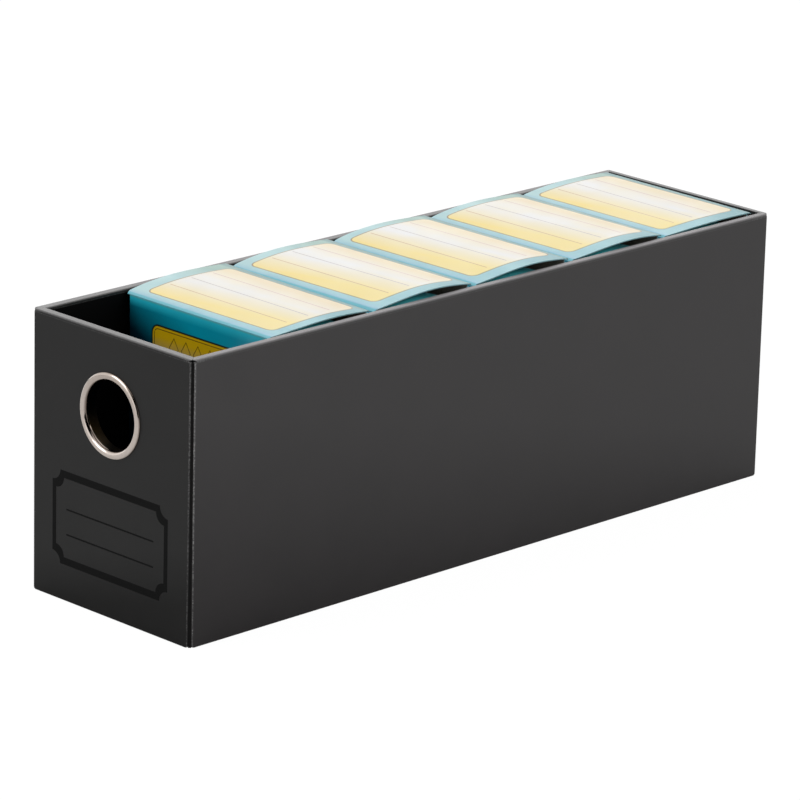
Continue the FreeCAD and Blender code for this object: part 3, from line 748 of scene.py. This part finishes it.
def ticket(x0, x1, y0, y1, notch, steps=8):
    """A rectangle whose corners are hollowed out by quarter circles."""
    points = []
    for x, y, start in ((x0, y0, 90), (x1, y0, 180), (x1, y1, 270), (x0, y1, 0)):
        points += arc(x, y, notch, start, start - 90, steps)
    return points


films = {"label_field_frame": [ticket(*FRAME_OUTSIDE, NOTCH), ticket(*FRAME_INSIDE, NOTCH)]}
for number, height in enumerate(LINE_HEIGHTS, start=1):
    films["label_field_line_%d" % number] = [
        rounded(-LINE_HALF, LINE_HALF, height - LINE_RADIUS, height + LINE_RADIUS,
                (LINE_RADIUS,) * 4)]
for name, outlines in films.items():
    film = board(name, outlines, FILM, FILM_SOFT, seat_xz(-HALF_Y - FILM / 2), varnish)
    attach(film, "root")
print("label field:", list(films))

# %% [markdown]
# ## Carton board and its print
#
# A folding carton is white board, printed and varnished on the outside. Its inside and its
# cut edges stay bare. So each panel has three finishes: print, bare board and cut edge.
#
# A print is usually an image on the surface, but simple shapes can be drawn by nodes and then
# stay sharp at any distance. The printed shapes here are rounded rectangles. One node group
# measures the distance from a point to the edge of such a rectangle, and every label, outline
# and line is then a matter of asking how large that distance is. The print reads a UV map in
# millimetres, so that it bends with the lid.

# %% A node group that measures rounded rectangles
def rounded_rectangle_group():
    group = bpy.data.node_groups.new("rounded_rectangle_distance", "ShaderNodeTree")
    for name, kind in (("Point", "Vector"), ("Centre", "Vector"), ("Half Size", "Vector"),
                       ("Corner", "Float")):
        group.interface.new_socket(name, in_out="INPUT", socket_type="NodeSocket" + kind)
    group.interface.new_socket("Distance", in_out="OUTPUT", socket_type="NodeSocketFloat")
    tree = Tree(group)
    enter = tree.add("NodeGroupInput").outputs
    folded = tree.vector("ABSOLUTE", tree.vector("SUBTRACT", enter["Point"], enter["Centre"]))
    spread = tree.vector("ADD", tree.vector("SUBTRACT", folded, enter["Half Size"]),
                         enter["Corner"])
    flat = tree.vector("MULTIPLY", tree.vector("MAXIMUM", spread), (1, 1, 0))
    length = tree.vector("LENGTH", flat, output="Value")
    tree.add("NodeGroupOutput", {"Distance": tree.minus(length, enter["Corner"])})
    return group


RECTANGLE = rounded_rectangle_group()
print("group:", RECTANGLE.name)

# %% A helper for printed shapes
class PrintedFinish(Finish):
    """A finish with shapes printed on it, placed by the `print` UV map."""

    def __init__(self, name):
        super().__init__(name)
        self.point = self.add("ShaderNodeUVMap", uv_map="print").outputs["UV"]

    def rectangle(self, centre, half, corner):
        """Distance outside a rounded rectangle's edge, negative inside."""
        return self.make("ShaderNodeGroup", {"Point": self.point, "Centre": (*centre, 0),
                                             "Half Size": (*half, 0), "Corner": corner},
                         node_tree=RECTANGLE)

    def inside(self, distance, softness=0.12):
        """1 inside the edge, 0 outside it."""
        return self.ramp(distance, -softness, softness, 1.0, 0.0)

    def line(self, distance, half_width, softness=0.08):
        """1 on the edge itself, 0 away from it."""
        return self.ramp(self.math("ABSOLUTE", distance), half_width - softness,
                         half_width + softness, 1.0, 0.0)


print("a printed finish can also:", words(PrintedFinish))

# %% A plate for the front carton
PLATE_MIDDLE, PLATE_HALF, PLATE_ROUND = (0, 80), (23.0, 11.0), 3.0
BORDER = 1.2
ROW_MIDDLE, ROW_HALF = (0, 84.5), (15, 4)


def plate_layers(finish, across, height):
    """A plain yellow plate with two outlines and a row of lozenges."""
    plate = finish.rectangle(PLATE_MIDDLE, PLATE_HALF, PLATE_ROUND)
    inner = finish.rectangle(PLATE_MIDDLE, [part - BORDER for part in PLATE_HALF],
                             PLATE_ROUND - BORDER)
    yellow = finish.blend(finish.ramp(height, 79, 87), srgb(172, 156, 124), srgb(224, 184, 12))
    beside = finish.times(finish.math("PINGPONG", across, 3.0), 1.6)
    off_row = finish.math("ABSOLUTE", finish.minus(height, ROW_MIDDLE[1]))
    lozenge = finish.minus(finish.plus(beside, off_row), 3.6)
    row = finish.times(finish.line(lozenge, 0.3),
                       finish.inside(finish.rectangle(ROW_MIDDLE, ROW_HALF, 0.1)))
    return [(finish.inside(plate), yellow), (finish.line(plate, 0.3), srgb(22, 30, 26)),
            (finish.line(inner, 0.14), srgb(90, 62, 20)),
            (finish.times(row, 0.9), srgb(64, 34, 18))]


print("plate:", [2 * part for part in PLATE_HALF], "mm")

# %% Teal print for the walls
# The dark teal low on the walls is painted shade: the print darkens towards the bottom, and on
# the front towards the lower left.
TEAL_TOP, TEAL_SHADE = srgb(0, 168, 196), srgb(0, 36, 54)
LEAN = 0.45


def teal_print(name, with_plate):
    finish = PrintedFinish(name)
    across, height, _ = finish.split(finish.point)
    cloud = finish.noise(finish.place(), 0.06, 3.0)
    shade_height = finish.plus(height, finish.times(across, LEAN * with_plate))
    # The two light bands just under the lid's fold are a painted highlight of the rounded fold.
    layers = [(finish.ramp(shade_height, 72, 92), TEAL_TOP),
              (finish.ramp(height, 95.0, 97.8), srgb(44, 212, 238)),
              (finish.ramp(cloud, 0.35, 0.75, 0.0, 0.12), srgb(0, 84, 108)),
              (finish.ramp(height, 97.9, 98.4), srgb(84, 204, 214))]
    if with_plate:
        layers += plate_layers(finish, across, height)
    grain = finish.noise(finish.place(), 1.3, 3.0)
    return finish.set(Base_Color=finish.paint(TEAL_SHADE, *layers),
                      Roughness=finish.ramp(cloud, 0.3, 0.7, 0.26, 0.34),
                      Coat_Weight=0.35, Coat_Roughness=0.12, Normal=finish.bump(grain, 0.010))


wall_print = teal_print("teal_wall_print", False)
front_print = teal_print("teal_front_print", True)
print("wall prints:", wall_print.name, front_print.name)

# %% Bare board and cut edges
bare = Finish("bare_board")
bare_fibre = bare.noise(bare.place(), 1.6, 5.0, 0.7)
bare_board = bare.set(Base_Color=bare.blend(bare.ramp(bare_fibre, 0.35, 0.65),
                                            srgb(186, 181, 170), srgb(205, 201, 192)),
                      Roughness=0.85, Normal=bare.bump(bare_fibre, 0.02))
edge = Finish("cut_board_edge")
edge_fibre = edge.noise(edge.place(), 5.0, 3.0)
cut_edge = edge.set(Base_Color=edge.blend(edge_fibre, srgb(120, 176, 186), srgb(176, 214, 220)),
                    Roughness=0.8, Normal=edge.bump(edge_fibre, 0.02))
print("board finishes:", bare_board.name, cut_edge.name)

# %% Grounds of the lid print
PRINT_SKEW = 0.018


def margin_print(finish, across, along):
    """The pale ground round the label: darker to the right, towards the rear and just before
    the rear fold, as painted shade, and deeper along the front fold.
    """
    right_shade = finish.ramp(across, -30, 26)
    near = finish.blend(right_shade, srgb(180, 220, 222), srgb(154, 208, 216))
    far = finish.blend(right_shade, srgb(126, 172, 160), srgb(84, 158, 168))
    cloud = finish.noise(finish.place(), 0.09, 3.0)
    # Painted shade: the ground darkens to the right, towards the rear and just before the rear
    # fold.
    margin = finish.paint(srgb(142, 198, 220), (finish.ramp(along, 0.5, 4.5), near),
                          (finish.ramp(along, 20, 37), far),
                          (finish.ramp(along, 43.2, 45.0), srgb(72, 134, 132)),
                          (finish.ramp(cloud, 0.45, 0.75, 0.0, 0.2), srgb(138, 184, 208)))
    level = finish.plus(along, finish.times(across, PRINT_SKEW))
    return finish.blend(finish.ramp(level, 0.8, 1.3), srgb(112, 196, 212), margin), cloud


def label_print(finish, across, along):
    """The label's own ground: yellow at the front, nearly white, then cream."""
    slanted = finish.minus(along, finish.times(across, 0.16))
    yellow = finish.blend(finish.ramp(across, -24, 16), srgb(255, 229, 130),
                          srgb(254, 232, 146))
    drift = finish.ramp(finish.noise(finish.place(), 0.05, 2.0), 0.4, 0.7, 0.0, 0.35)
    return finish.paint(yellow, (finish.ramp(slanted, 10, 25), srgb(244, 243, 241)),
                        (finish.ramp(along, 28, 40), srgb(240, 221, 182)),
                        (drift, srgb(251, 236, 190)))


print("margin and label grounds ready")

# %% Lid print
LABEL_MIDDLE, LABEL_HALF, LABEL_ROUND = (-1.45, 24.15), (30.6, 19.41), 2.8
RULE_MIDDLE, RULE_HALF = -2.0, (28.4, 0.2)
RULES = ((14.2, srgb(206, 168, 108)), (24.0, srgb(186, 176, 172)), (34.0, srgb(204, 168, 160)))


def lid_print():
    finish = PrintedFinish("lid_print")
    across, along, _ = finish.split(finish.point)
    margin, cloud = margin_print(finish, across, along)
    label = finish.rectangle(LABEL_MIDDLE, LABEL_HALF, LABEL_ROUND)
    layers = [(finish.inside(label), label_print(finish, across, along)),
              (finish.times(finish.line(label, 0.28), 0.85), srgb(142, 122, 84))]
    for height, tint in RULES:
        rule = finish.rectangle((RULE_MIDDLE, height), RULE_HALF, 0.1)
        layers.append((finish.times(finish.inside(rule, 0.08), 0.9), tint))
    grain = finish.noise(finish.place(), 1.1, 3.0)
    return finish.set(Base_Color=finish.paint(margin, *layers),
                      Roughness=finish.ramp(cloud, 0.3, 0.7, 0.36, 0.46),
                      Coat_Weight=0.15, Coat_Roughness=0.2, Normal=finish.bump(grain, 0.008))


lid_face = lid_print()
print("lid print:", len(lid_face.node_tree.nodes), "nodes")

# %% [markdown]
# ## Carton walls
#
# Four walls are folded from one board. The front wall is the tallest, because the lid folds
# off it. The side walls end lower, where the dust flaps fold, and the rear wall is free.
# Four thickened planes would leave open corners, so the tube is built as columns of points
# round its rounded outline. A column at the end of a wall carries two heights, so the step
# between two walls is a clean cut.

# %% Outline of a carton
HALF_CARTON, CARTON_DEPTH, SHIFT, BOARD = 35.0, 47.5, 0.6, 0.5
FLOOR_TOP = 3.0
WALL_TOPS = (98.56, 97.6, 98.45, 97.6)
OUTER_ROUND, INNER_ROUND = 0.8, 0.3


def box_mm(node):
    """Lowest and highest corner of a CAD node, in millimetres."""
    low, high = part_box(node)
    return low / MM, high / MM


FRONTS = {number: box_mm("carton_%d_shell" % number)[0].y for number in CARTONS}


def tube_outline(inset, radius, steps=5):
    """Points of the carton's outline with the wall each of them starts: 0 front, 1 right,
    2 rear, 3 left."""
    half, near, far = HALF_CARTON - inset, inset, CARTON_DEPTH - inset
    corners = [(half, near, 270), (half, far, 0), (-half, far, 90), (-half, near, 180)]
    columns = []
    for wall, (x, y, start) in enumerate(corners):
        corner = arc(x - math.copysign(radius, x), y + (radius if y == near else -radius),
                     radius, start, start + 90, steps)
        columns += [(place, wall if step <= steps // 2 else (wall + 1) % 4)
                    for step, place in enumerate(corner)]
    return columns


print("carton fronts at", {number: round(front, 2) for number, front in FRONTS.items()})

# %% Walls of a carton
PRINTED_FRONT, PRINTED_WALL, BARE, CUT = range(4)
WRAP_START = 200


def make_walls(number):
    """The mesh of a carton's four walls, with its print laid out in millimetres."""
    outer, inner = tube_outline(0, OUTER_ROUND), tube_outline(BOARD, INNER_ROUND)
    count = len(outer)
    walls = [wall for _, wall in outer]
    mesh = bmesh.new()
    layer = mesh.loops.layers.uv.new("print")

    def column(place):
        """The points over one place, by height."""
        x, y = place
        return {height: mesh.verts.new((x + SHIFT, y + FRONTS[number], height))
                for height in sorted({FLOOR_TOP, *WALL_TOPS})}

    skins = [[column(place) for place, _ in outer], [column(place) for place, _ in inner]]

    def run(skin, index, top):
        """The points of one column from the floor up to a height."""
        points = skins[skin][index]
        return [points[height] for height in sorted(points) if height <= top]

    def add(corners, finish):
        face = mesh.faces.new(corners)
        face.material_index = finish
        for loop in face.loops:
            place = loop.vert.co
            wrapped = place.x + place.y + WRAP_START
            along = place.x - SHIFT if finish == PRINTED_FRONT else wrapped
            loop[layer].uv = (along, place.z)

    for index in range(count):
        following = (index + 1) % count
        wall = walls[following]
        top, previous_top = WALL_TOPS[wall], WALL_TOPS[walls[index]]
        add(run(0, index, top) + run(0, following, top)[::-1],
            PRINTED_FRONT if wall == 0 else PRINTED_WALL)
        add(run(1, index, top) + run(1, following, top)[::-1], BARE)
        for height in (FLOOR_TOP, top):
            add([skins[0][index][height], skins[1][index][height],
                 skins[1][following][height], skins[0][following][height]], CUT)
        if previous_top != top:
            low, high = sorted((previous_top, top))
            levels = [height for height in sorted(skins[0][index]) if low <= height <= high]
            add([skins[0][index][height] for height in levels]
                + [skins[1][index][height] for height in levels[::-1]], CUT)
    loose = [vertex for vertex in mesh.verts if not vertex.link_faces]
    bmesh.ops.delete(mesh, geom=loose)
    return finished(mesh, "carton_%d_walls" % number)


print("points round a wall:", len(tube_outline(0, OUTER_ROUND)))

# %% Five cartons with their glued seams
SEAM_FROM, SEAM_TO, SEAM_HEIGHTS, SEAM_ROUND = 35, 47, (4.7, 97.0), 2
SEAM_AIR, SEAM_SOFT = 0.01, 0.05

for carton in CARTONS:
    data = make_walls(carton)
    piece = link(data.name, data, front_print, wall_print, bare_board, cut_edge)
    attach(piece, "carton_%d" % carton)
    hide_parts("carton_%d_shell" % carton)
    seam = board("carton_%d_seam" % carton,
                 [rounded(FRONTS[carton] + SEAM_FROM, FRONTS[carton] + SEAM_TO, *SEAM_HEIGHTS,
                          (SEAM_ROUND, 0, 0, SEAM_ROUND))],
                 BOARD, SEAM_SOFT, seat_yz(SHIFT - HALF_CARTON + BOARD * 1.5 + SEAM_AIR),
                 bare_board)
    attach(seam, "carton_%d" % carton)
print("five carton shells:", len(piece.data.polygons), "faces each")

# %% [markdown]
# ## Lids
#
# Each lid is one panel of board that has been opened many times. It bows upwards between its
# two folds, and no two bow alike: most stand higher on the left than on the right. A bend
# modifier would bow every lid in one even arc, so a rule gives the height instead: for one
# side edge, a chord from fold to fold with a skewed sine on it. Between the two side edges
# the lid is a straight blend, which gives the slight twist.
#
# At the front the board rolls round the hinge axis as a small bead, so the lid turns in
# place. At the rear it rolls down to the tuck flap.

# %% How each lid bows
LID_LEFT, LID_RIGHT = -36.6, 34.7
REAR_AXIS = 46.4

# For each lid and side: front height, rear height, bow, skew. Heights are over the floor.
BOWS = {
    1: ((99.12, 100.75, 1.70, 0.85), (99.36, 99.89, 1.06, 1.42)),
    2: ((99.12, 100.70, 1.85, 0.85), (99.55, 100.35, 1.85, 1.25)),
    3: ((99.10, 100.88, 2.00, 0.80), (99.50, 100.50, 1.75, 1.25)),
    4: ((99.15, 100.70, 1.80, 0.85), (99.55, 100.42, 1.50, 1.40)),
    5: ((99.35, 100.62, 1.51, 0.86), (99.50, 100.27, 0.50, 1.27)),
}


def lid_height(number, x, share):
    """Height of a lid's upper face at x, a share of the way from front to rear fold."""
    left, right = [front + (rear - front) * share
                   + bow * math.sin(math.pi * max(share, 0.0) ** skew)
                   for front, rear, bow, skew in BOWS[number]]
    side = (x - LID_LEFT) / (LID_RIGHT - LID_LEFT)
    return left * (1 - side) + right * side


print("lid 3 crown:", round(lid_height(3, LID_LEFT, 0.5), 2), "mm")

# %% Sheets of board
def sheet(name, rows, materials):
    """A closed sheet, print above, bare below, with cut edges, from rows of points. Each is
    an upper point, the lower point under it, and their place on the print."""
    mesh = bmesh.new()
    layer = mesh.loops.layers.uv.new("print")
    top = [[mesh.verts.new(upper) for upper, _, _ in row] for row in rows]
    foot = [[mesh.verts.new(lower) for _, lower, _ in row] for row in rows]
    last_row, last_column = len(rows) - 1, len(rows[0]) - 1

    def add(corners, finish, marks):
        face = mesh.faces.new(corners)
        face.material_index = finish
        for loop, (row, column) in zip(face.loops, marks):
            loop[layer].uv = rows[row][column][2]

    for row in range(last_row):
        for column in range(last_column):
            marks = [(row, column), (row, column + 1), (row + 1, column + 1), (row + 1, column)]
            add([top[r][c] for r, c in marks], 0, marks)
            add([foot[r][c] for r, c in marks[::-1]], 1, marks[::-1])
    border = ([(0, column) for column in range(last_column + 1)]
              + [(row, last_column) for row in range(1, last_row + 1)]
              + [(last_row, column) for column in range(last_column - 1, -1, -1)]
              + [(row, 0) for row in range(last_row - 1, 0, -1)])
    for first, second in zip(border, border[1:] + border[:1]):
        add([top[first[0]][first[1]], foot[first[0]][first[1]], foot[second[0]][second[1]],
             top[second[0]][second[1]]], 2, [first, first, second, second])
    return link(name, finished(mesh, name), *materials)


print("sheet maker ready")

# %% Rows of points for a lid
HINGE, BEAD = 98.75, 0.26
FOLD_IN = 0.25
LID_BOARD = 0.38
LID_COLUMNS, LID_ROWS, ROLL_STEPS = 24, 44, 5
PANEL_START, ROLL_START, ROLL = 0.95, REAR_AXIS - 0.35, 0.6
LEFT_DRAWN_IN, DRAWN_OVER = 0.9, 2.5
BEAD_PRINT = (-0.6, 0.1)
PRINT_SHIFTS = {1: 1.25, 2: 0.15, 3: -0.45, 4: -0.45, 5: -0.25}

# Turns round the hinge axis, in degrees, of the bead's upper and lower points, row by row.
BEAD_TURNS = [(270, 292), (232, 315), (200, 332), (168, 345), (135, 354), (105, 0)]


def lid_rows(number):
    """Rows of points for a lid, from the bead at its front fold to the roll at its rear."""
    front = FRONTS[number]
    rows = []

    def add_row(along, printed, upper, lower):
        """One row across the lid, whose left corner is drawn in towards the front fold.
        `upper` and `lower` give (y, z) for an x."""
        start = LID_LEFT + LEFT_DRAWN_IN * max(0.0, 1 - along / DRAWN_OVER) ** 2
        spots = [start + (LID_RIGHT - start) * column / LID_COLUMNS
                 for column in range(LID_COLUMNS + 1)]
        rows.append([((x + SHIFT, *upper(x)), (x + SHIFT, *lower(x)),
                      (x - PRINT_SHIFTS[number], printed - PRINT_SKEW * x)) for x in spots])

    def height(x, along):
        return lid_height(number, x, along / REAR_AXIS)

    for index, turns in enumerate(BEAD_TURNS):
        places = [(front + FOLD_IN + BEAD * math.cos(turn), HINGE + BEAD * math.sin(turn))
                  for turn in map(math.radians, turns)]
        add_row(0.0, BEAD_PRINT[0] + BEAD_PRINT[1] * index, lambda x: places[0],
                lambda x: places[1])
    for row in range(LID_ROWS + 1):
        along = PANEL_START + (ROLL_START - PANEL_START) * row / LID_ROWS
        behind = 0.1 if row == 0 else 0.0
        add_row(along, along, lambda x: (front + along, height(x, along)),
                lambda x: (front + along + behind, height(x, along) - LID_BOARD))
    inner = ROLL - LID_BOARD
    for step in range(1, ROLL_STEPS + 1):
        turn = math.radians(90 * step / ROLL_STEPS)
        out, down = math.sin(turn), 1 - math.cos(turn)
        add_row(ROLL_START, ROLL_START + ROLL * turn,
                lambda x: (front + ROLL_START + ROLL * out,
                           height(x, ROLL_START) - ROLL * down),
                lambda x: (front + ROLL_START + inner * out,
                           height(x, ROLL_START) - LID_BOARD - inner * down))
    return rows


print("rows in a lid:", len(lid_rows(1)))

# %% Lids
for carton in CARTONS:
    piece = sheet("carton_%d_lid_panel" % carton, lid_rows(carton),
                  (lid_face, bare_board, cut_edge))
    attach(piece, "carton_%d_lid" % carton)
    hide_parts("carton_%d_lid" % carton)
print("five lids of", len(piece.data.polygons), "faces")

# %% [markdown]
# ## Tuck flaps and dust flaps
#
# The tuck flap hangs from the lid's rear fold and leans forward behind the cards. Its upper
# edge follows the lid's own twist. The two dust flaps fold in from the side walls and press
# up against the lid. Both kinds are thin boards with rounded free corners, and flat cut-outs
# would do for that. But board is always slightly bowed, so they are sheets of points too.

# %% Shape of a tuck flap
TUCK_HALF, TUCK_DEPTH, TUCK_LEAN, TUCK_ROUND = 33.1, 16.0, math.radians(14), 7.0
TUCK_COLUMNS, TUCK_ROWS = 20, 18
TUCK_BOW, TUCK_HANG = 0.25, 0.68
TUCK_BEHIND, TUCK_BACK = 0.25, (0.47, 0.05)
TUCK_PRINT = (96.0, 0.2)


def corner_cut(from_tip, radius):
    """How far a rounded corner draws the side edge in, at a distance from the tip."""
    if from_tip >= radius:
        return 0.0
    return radius - math.sqrt(max(0.0, radius ** 2 - (radius - from_tip) ** 2))


def tuck_rows(number):
    """Rows of points for a tuck flap, from its fold down to its tip."""
    rows = []
    for row in range(TUCK_ROWS + 1):
        down = TUCK_DEPTH * (row / TUCK_ROWS)
        half = TUCK_HALF - corner_cut(TUCK_DEPTH - down, TUCK_ROUND)
        bow = TUCK_BOW * math.sin(math.pi * down / TUCK_DEPTH)
        y = FRONTS[number] + REAR_AXIS + TUCK_BEHIND - math.sin(TUCK_LEAN) * down + bow
        points = []
        for column in range(TUCK_COLUMNS + 1):
            x = -half + 2 * half * (column / TUCK_COLUMNS)
            z = lid_height(number, x, 1.0) - TUCK_HANG - math.cos(TUCK_LEAN) * down
            points.append(((x + SHIFT, y, z), (x + SHIFT, y - TUCK_BACK[0], z - TUCK_BACK[1]),
                           (x, TUCK_PRINT[0] - TUCK_PRINT[1] * down)))
        rows.append(points)
    return rows


print("rows in a tuck flap:", len(tuck_rows(1)))

# %% Shape of a dust flap
DUST_REACH, DUST_ROUND, DUST_BEAD, DUST_AXIS = 20.0, 3.5, 0.25, 98.0
DUST_COLUMNS, DUST_ROWS, DUST_START = 16, 14, 0.1
DUST_ROOT, DUST_TIP = (2.5, 33.0), (15.0, 29.5)
# The dust flaps take their print from the light bands at the top of the wall print: painted
# light on flaps that lie in the lids' shade.
DUST_UNDER, DUST_LIT_PRINT = -0.22, (99.5, 0.3)
SPRING = 0.65


def dust_rows(number, sign):
    """Rows of points for a dust flap, from the bead on its side wall's fold inwards. Its
    middle springs up by a share of the bow along its lid's right edge."""
    axis_x = SHIFT + sign * (HALF_CARTON - DUST_BEAD)
    rows = []

    def add_row(inward, top_rise, foot_rise):
        """One row of points at a distance in from the fold's axis."""
        taper = max(0.0, inward) / DUST_REACH
        cut = corner_cut(DUST_REACH - inward, DUST_ROUND)
        near = DUST_ROOT[0] + (DUST_TIP[0] - DUST_ROOT[0]) * taper ** 1.3 + cut
        far = DUST_ROOT[1] - (DUST_ROOT[1] - DUST_TIP[1]) * taper - cut
        spring = SPRING * BOWS[number][1][2] * math.sin(math.pi * taper ** 0.5)
        x = axis_x - sign * inward
        points = []
        for column in range(DUST_COLUMNS + 1):
            y = FRONTS[number] + (near + (far - near) * column / DUST_COLUMNS)
            rise = DUST_AXIS + spring * math.sin(math.pi * column / DUST_COLUMNS) ** 1.2
            points.append(((x, y, rise + top_rise), (x, y, rise + foot_rise),
                           (inward, DUST_LIT_PRINT[0] - DUST_LIT_PRINT[1] * inward)))
        rows.append(points)

    for turn in map(math.radians, (180, 160, 140, 120, 100)):
        add_row(DUST_BEAD * math.cos(turn), DUST_BEAD * math.sin(turn),
                -DUST_BEAD * math.sin(turn))
    for row in range(DUST_ROWS + 1):
        add_row(DUST_START + (DUST_REACH - DUST_START) * row / DUST_ROWS, DUST_BEAD,
                DUST_UNDER)
    return rows


print("rows in a dust flap:", len(dust_rows(1, 1)))

# %% Tuck flaps and dust flaps
for carton in CARTONS:
    for name, rows, body, replaced in (
            ("tuck_panel", tuck_rows(carton), "tuck", "tuck_flap"),
            ("dust_left", dust_rows(carton, -1), "flap_left", "dust_flap_left"),
            ("dust_right", dust_rows(carton, 1), "flap_right", "dust_flap_right")):
        piece = sheet("carton_%d_%s" % (carton, name), rows,
                      (wall_print, bare_board, cut_edge))
        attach(piece, "carton_%d_%s" % (carton, body))
        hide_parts("carton_%d_%s" % (carton, replaced))
print("three flaps for each carton")

# %% [markdown]
# ## Sleeved cards
#
# A stack is one card repeated. An Array modifier could repeat it, but every copy would lie
# exactly like the last. Geometry Nodes suit it better: a rounded card outline is filled and
# thickened once, set out along a line, and each copy is nudged a little with a fixed seed.
# The count, pitch and size are inputs of the group. The result is realised to plain mesh,
# one piece for each carton, because a carton and its cards are lifted out together.

# %% Card finish
card = Finish("sleeved_card")
card_tone = card.blend(card.mark("card_tint"), srgb(196, 192, 184), srgb(232, 230, 224))
card_grain = card.noise(card.place((1.0, 6.0, 1.0)), 0.8, 2.0)
card_face = card.set(Base_Color=card.blend(card.times(card_grain, 0.35), card_tone,
                                           srgb(150, 148, 146)),
                     Roughness=0.32, Coat_Weight=0.25, Coat_Roughness=0.1,
                     Normal=card.bump(card_grain, 0.01))
print("card finish:", card_face.name)

# %% Card stack by Geometry Nodes
STACK_INPUTS = (("Card Width", "Float", 66.0), ("Card Height", "Float", 91.0),
                ("Card Thickness", "Float", 0.5), ("Corner", "Float", 3.0),
                ("Pitch", "Float", 0.62), ("Count", "Int", 60), ("Seed", "Int", 7),
                ("Finish", "Material", None))
NUDGE_LOW, NUDGE_HIGH = (-0.35, -0.02, 0.0), (0.35, 0.02, 0.30)


def stack_group():
    group = bpy.data.node_groups.new("card_stack", "GeometryNodeTree")
    sockets = {}
    for name, kind, value in STACK_INPUTS:
        socket = group.interface.new_socket(name, in_out="INPUT",
                                            socket_type="NodeSocket" + kind)
        if value is not None:
            socket.default_value = value
        sockets[name] = socket.identifier
    group.interface.new_socket("Cards", in_out="OUTPUT", socket_type="NodeSocketGeometry")
    tree = Tree(group)
    make = tree.make
    enter = tree.add("NodeGroupInput").outputs

    outline = make("GeometryNodeCurvePrimitiveQuadrilateral",
                   {"Width": enter["Card Width"], "Height": enter["Card Height"]})
    soft = make("GeometryNodeFilletCurve",
                {"Curve": outline, "Radius": enter["Corner"], "Count": 4}, mode="POLY")
    flat = make("GeometryNodeFillCurve", {"Curve": soft}, mode="NGONS")
    thick = make("GeometryNodeExtrudeMesh",
                 {"Mesh": flat, "Offset Scale": enter["Card Thickness"], "Individual": False})
    back = make("GeometryNodeFlipFaces", {"Mesh": flat})
    closed = tree.add("GeometryNodeJoinGeometry")
    for part in (thick, back):
        tree.plug(part, closed.inputs[0])
    solid = make("GeometryNodeMergeByDistance", {"Geometry": closed.outputs[0],
                                                 "Distance": 0.001})
    upright = make("GeometryNodeTransform",
                   {"Geometry": solid, "Rotation": (math.radians(90), 0, 0)})

    step = make("ShaderNodeCombineXYZ", {"Y": enter["Pitch"]})
    row = make("GeometryNodeMeshLine", {"Count": enter["Count"], "Offset": step},
               mode="OFFSET")
    nudge = make("FunctionNodeRandomValue", {"Min": NUDGE_LOW, "Max": NUDGE_HIGH,
                                             "Seed": enter["Seed"]},
                 data_type="FLOAT_VECTOR")
    shifted = make("GeometryNodeSetPosition", {"Geometry": row, "Offset": nudge})
    copies = make("GeometryNodeInstanceOnPoints", {"Points": shifted, "Instance": upright})
    shade = tree.add("FunctionNodeRandomValue", {"Seed": tree.plus(enter["Seed"], 31.0)},
                     data_type="FLOAT").outputs[1]
    marked = make("GeometryNodeStoreNamedAttribute",
                  {"Geometry": copies, "Name": "card_tint", "Value": shade},
                  data_type="FLOAT", domain="INSTANCE")
    real = make("GeometryNodeRealizeInstances", {"Geometry": marked})
    coloured = make("GeometryNodeSetMaterial", {"Geometry": real, "Material": enter["Finish"]})
    tree.add("NodeGroupOutput", {"Cards": coloured})
    return group, sockets


STACK, STACK_SOCKETS = stack_group()
print("inputs of the stack:", list(STACK_SOCKETS))

# %% Five stacks
CARD_PITCH, CARD_THICKNESS = 0.62, 0.52
SIDE_ROOM, TOP_ROOM, END_ROOM = 0.8, 0.6, 0.7
STACK_START, STACK_DROP = 0.57, 0.15


def stack_mesh(number, name):
    """The cards of one carton, in the space that the CAD model gives them."""
    low, high = box_mm("carton_%d_cards" % number)
    values = {"Card Width": high.x - low.x - SIDE_ROOM,
              "Card Height": high.z - low.z - TOP_ROOM, "Card Thickness": CARD_THICKNESS,
              "Pitch": CARD_PITCH, "Seed": 10 + number,
              "Count": int((high.y - low.y - END_ROOM) / CARD_PITCH) + 1, "Finish": card_face}
    maker = link(name + "_maker", bpy.data.meshes.new(name + "_maker"))
    modifier = maker.modifiers.new("stack", "NODES")
    modifier.node_group = STACK
    for key, value in values.items():
        modifier[STACK_SOCKETS[key]] = value
    mesh = evaluated(maker, name)
    middle = (low + high) / 2
    mesh.transform(TO_METRES @ Matrix.Translation((middle.x, low.y + STACK_START,
                                                   middle.z - STACK_DROP)))
    smooth(mesh, 30)
    return mesh


for carton in CARTONS:
    name = "carton_%d_card_stack" % carton
    stack = link(name, stack_mesh(carton, name))
    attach(stack, "carton_%d" % carton)
    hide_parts("carton_%d_cards" % carton)
print("five stacks of", len(stack.data.polygons), "faces each")

# %% [markdown]
# The bottoms of the cartons are flat flaps that show only when a carton is lifted and seen
# from below. The CAD model's solids have all their folds, so they keep their shape and get
# the print of the walls.

# %% Carton bottoms keep their CAD shape
for carton in CARTONS:
    refinish("carton_%d_bottom" % carton, wall_print)
print("carton bottoms refinished")

# %% [markdown]
# The dressed model must stay inside the CAD model's box.
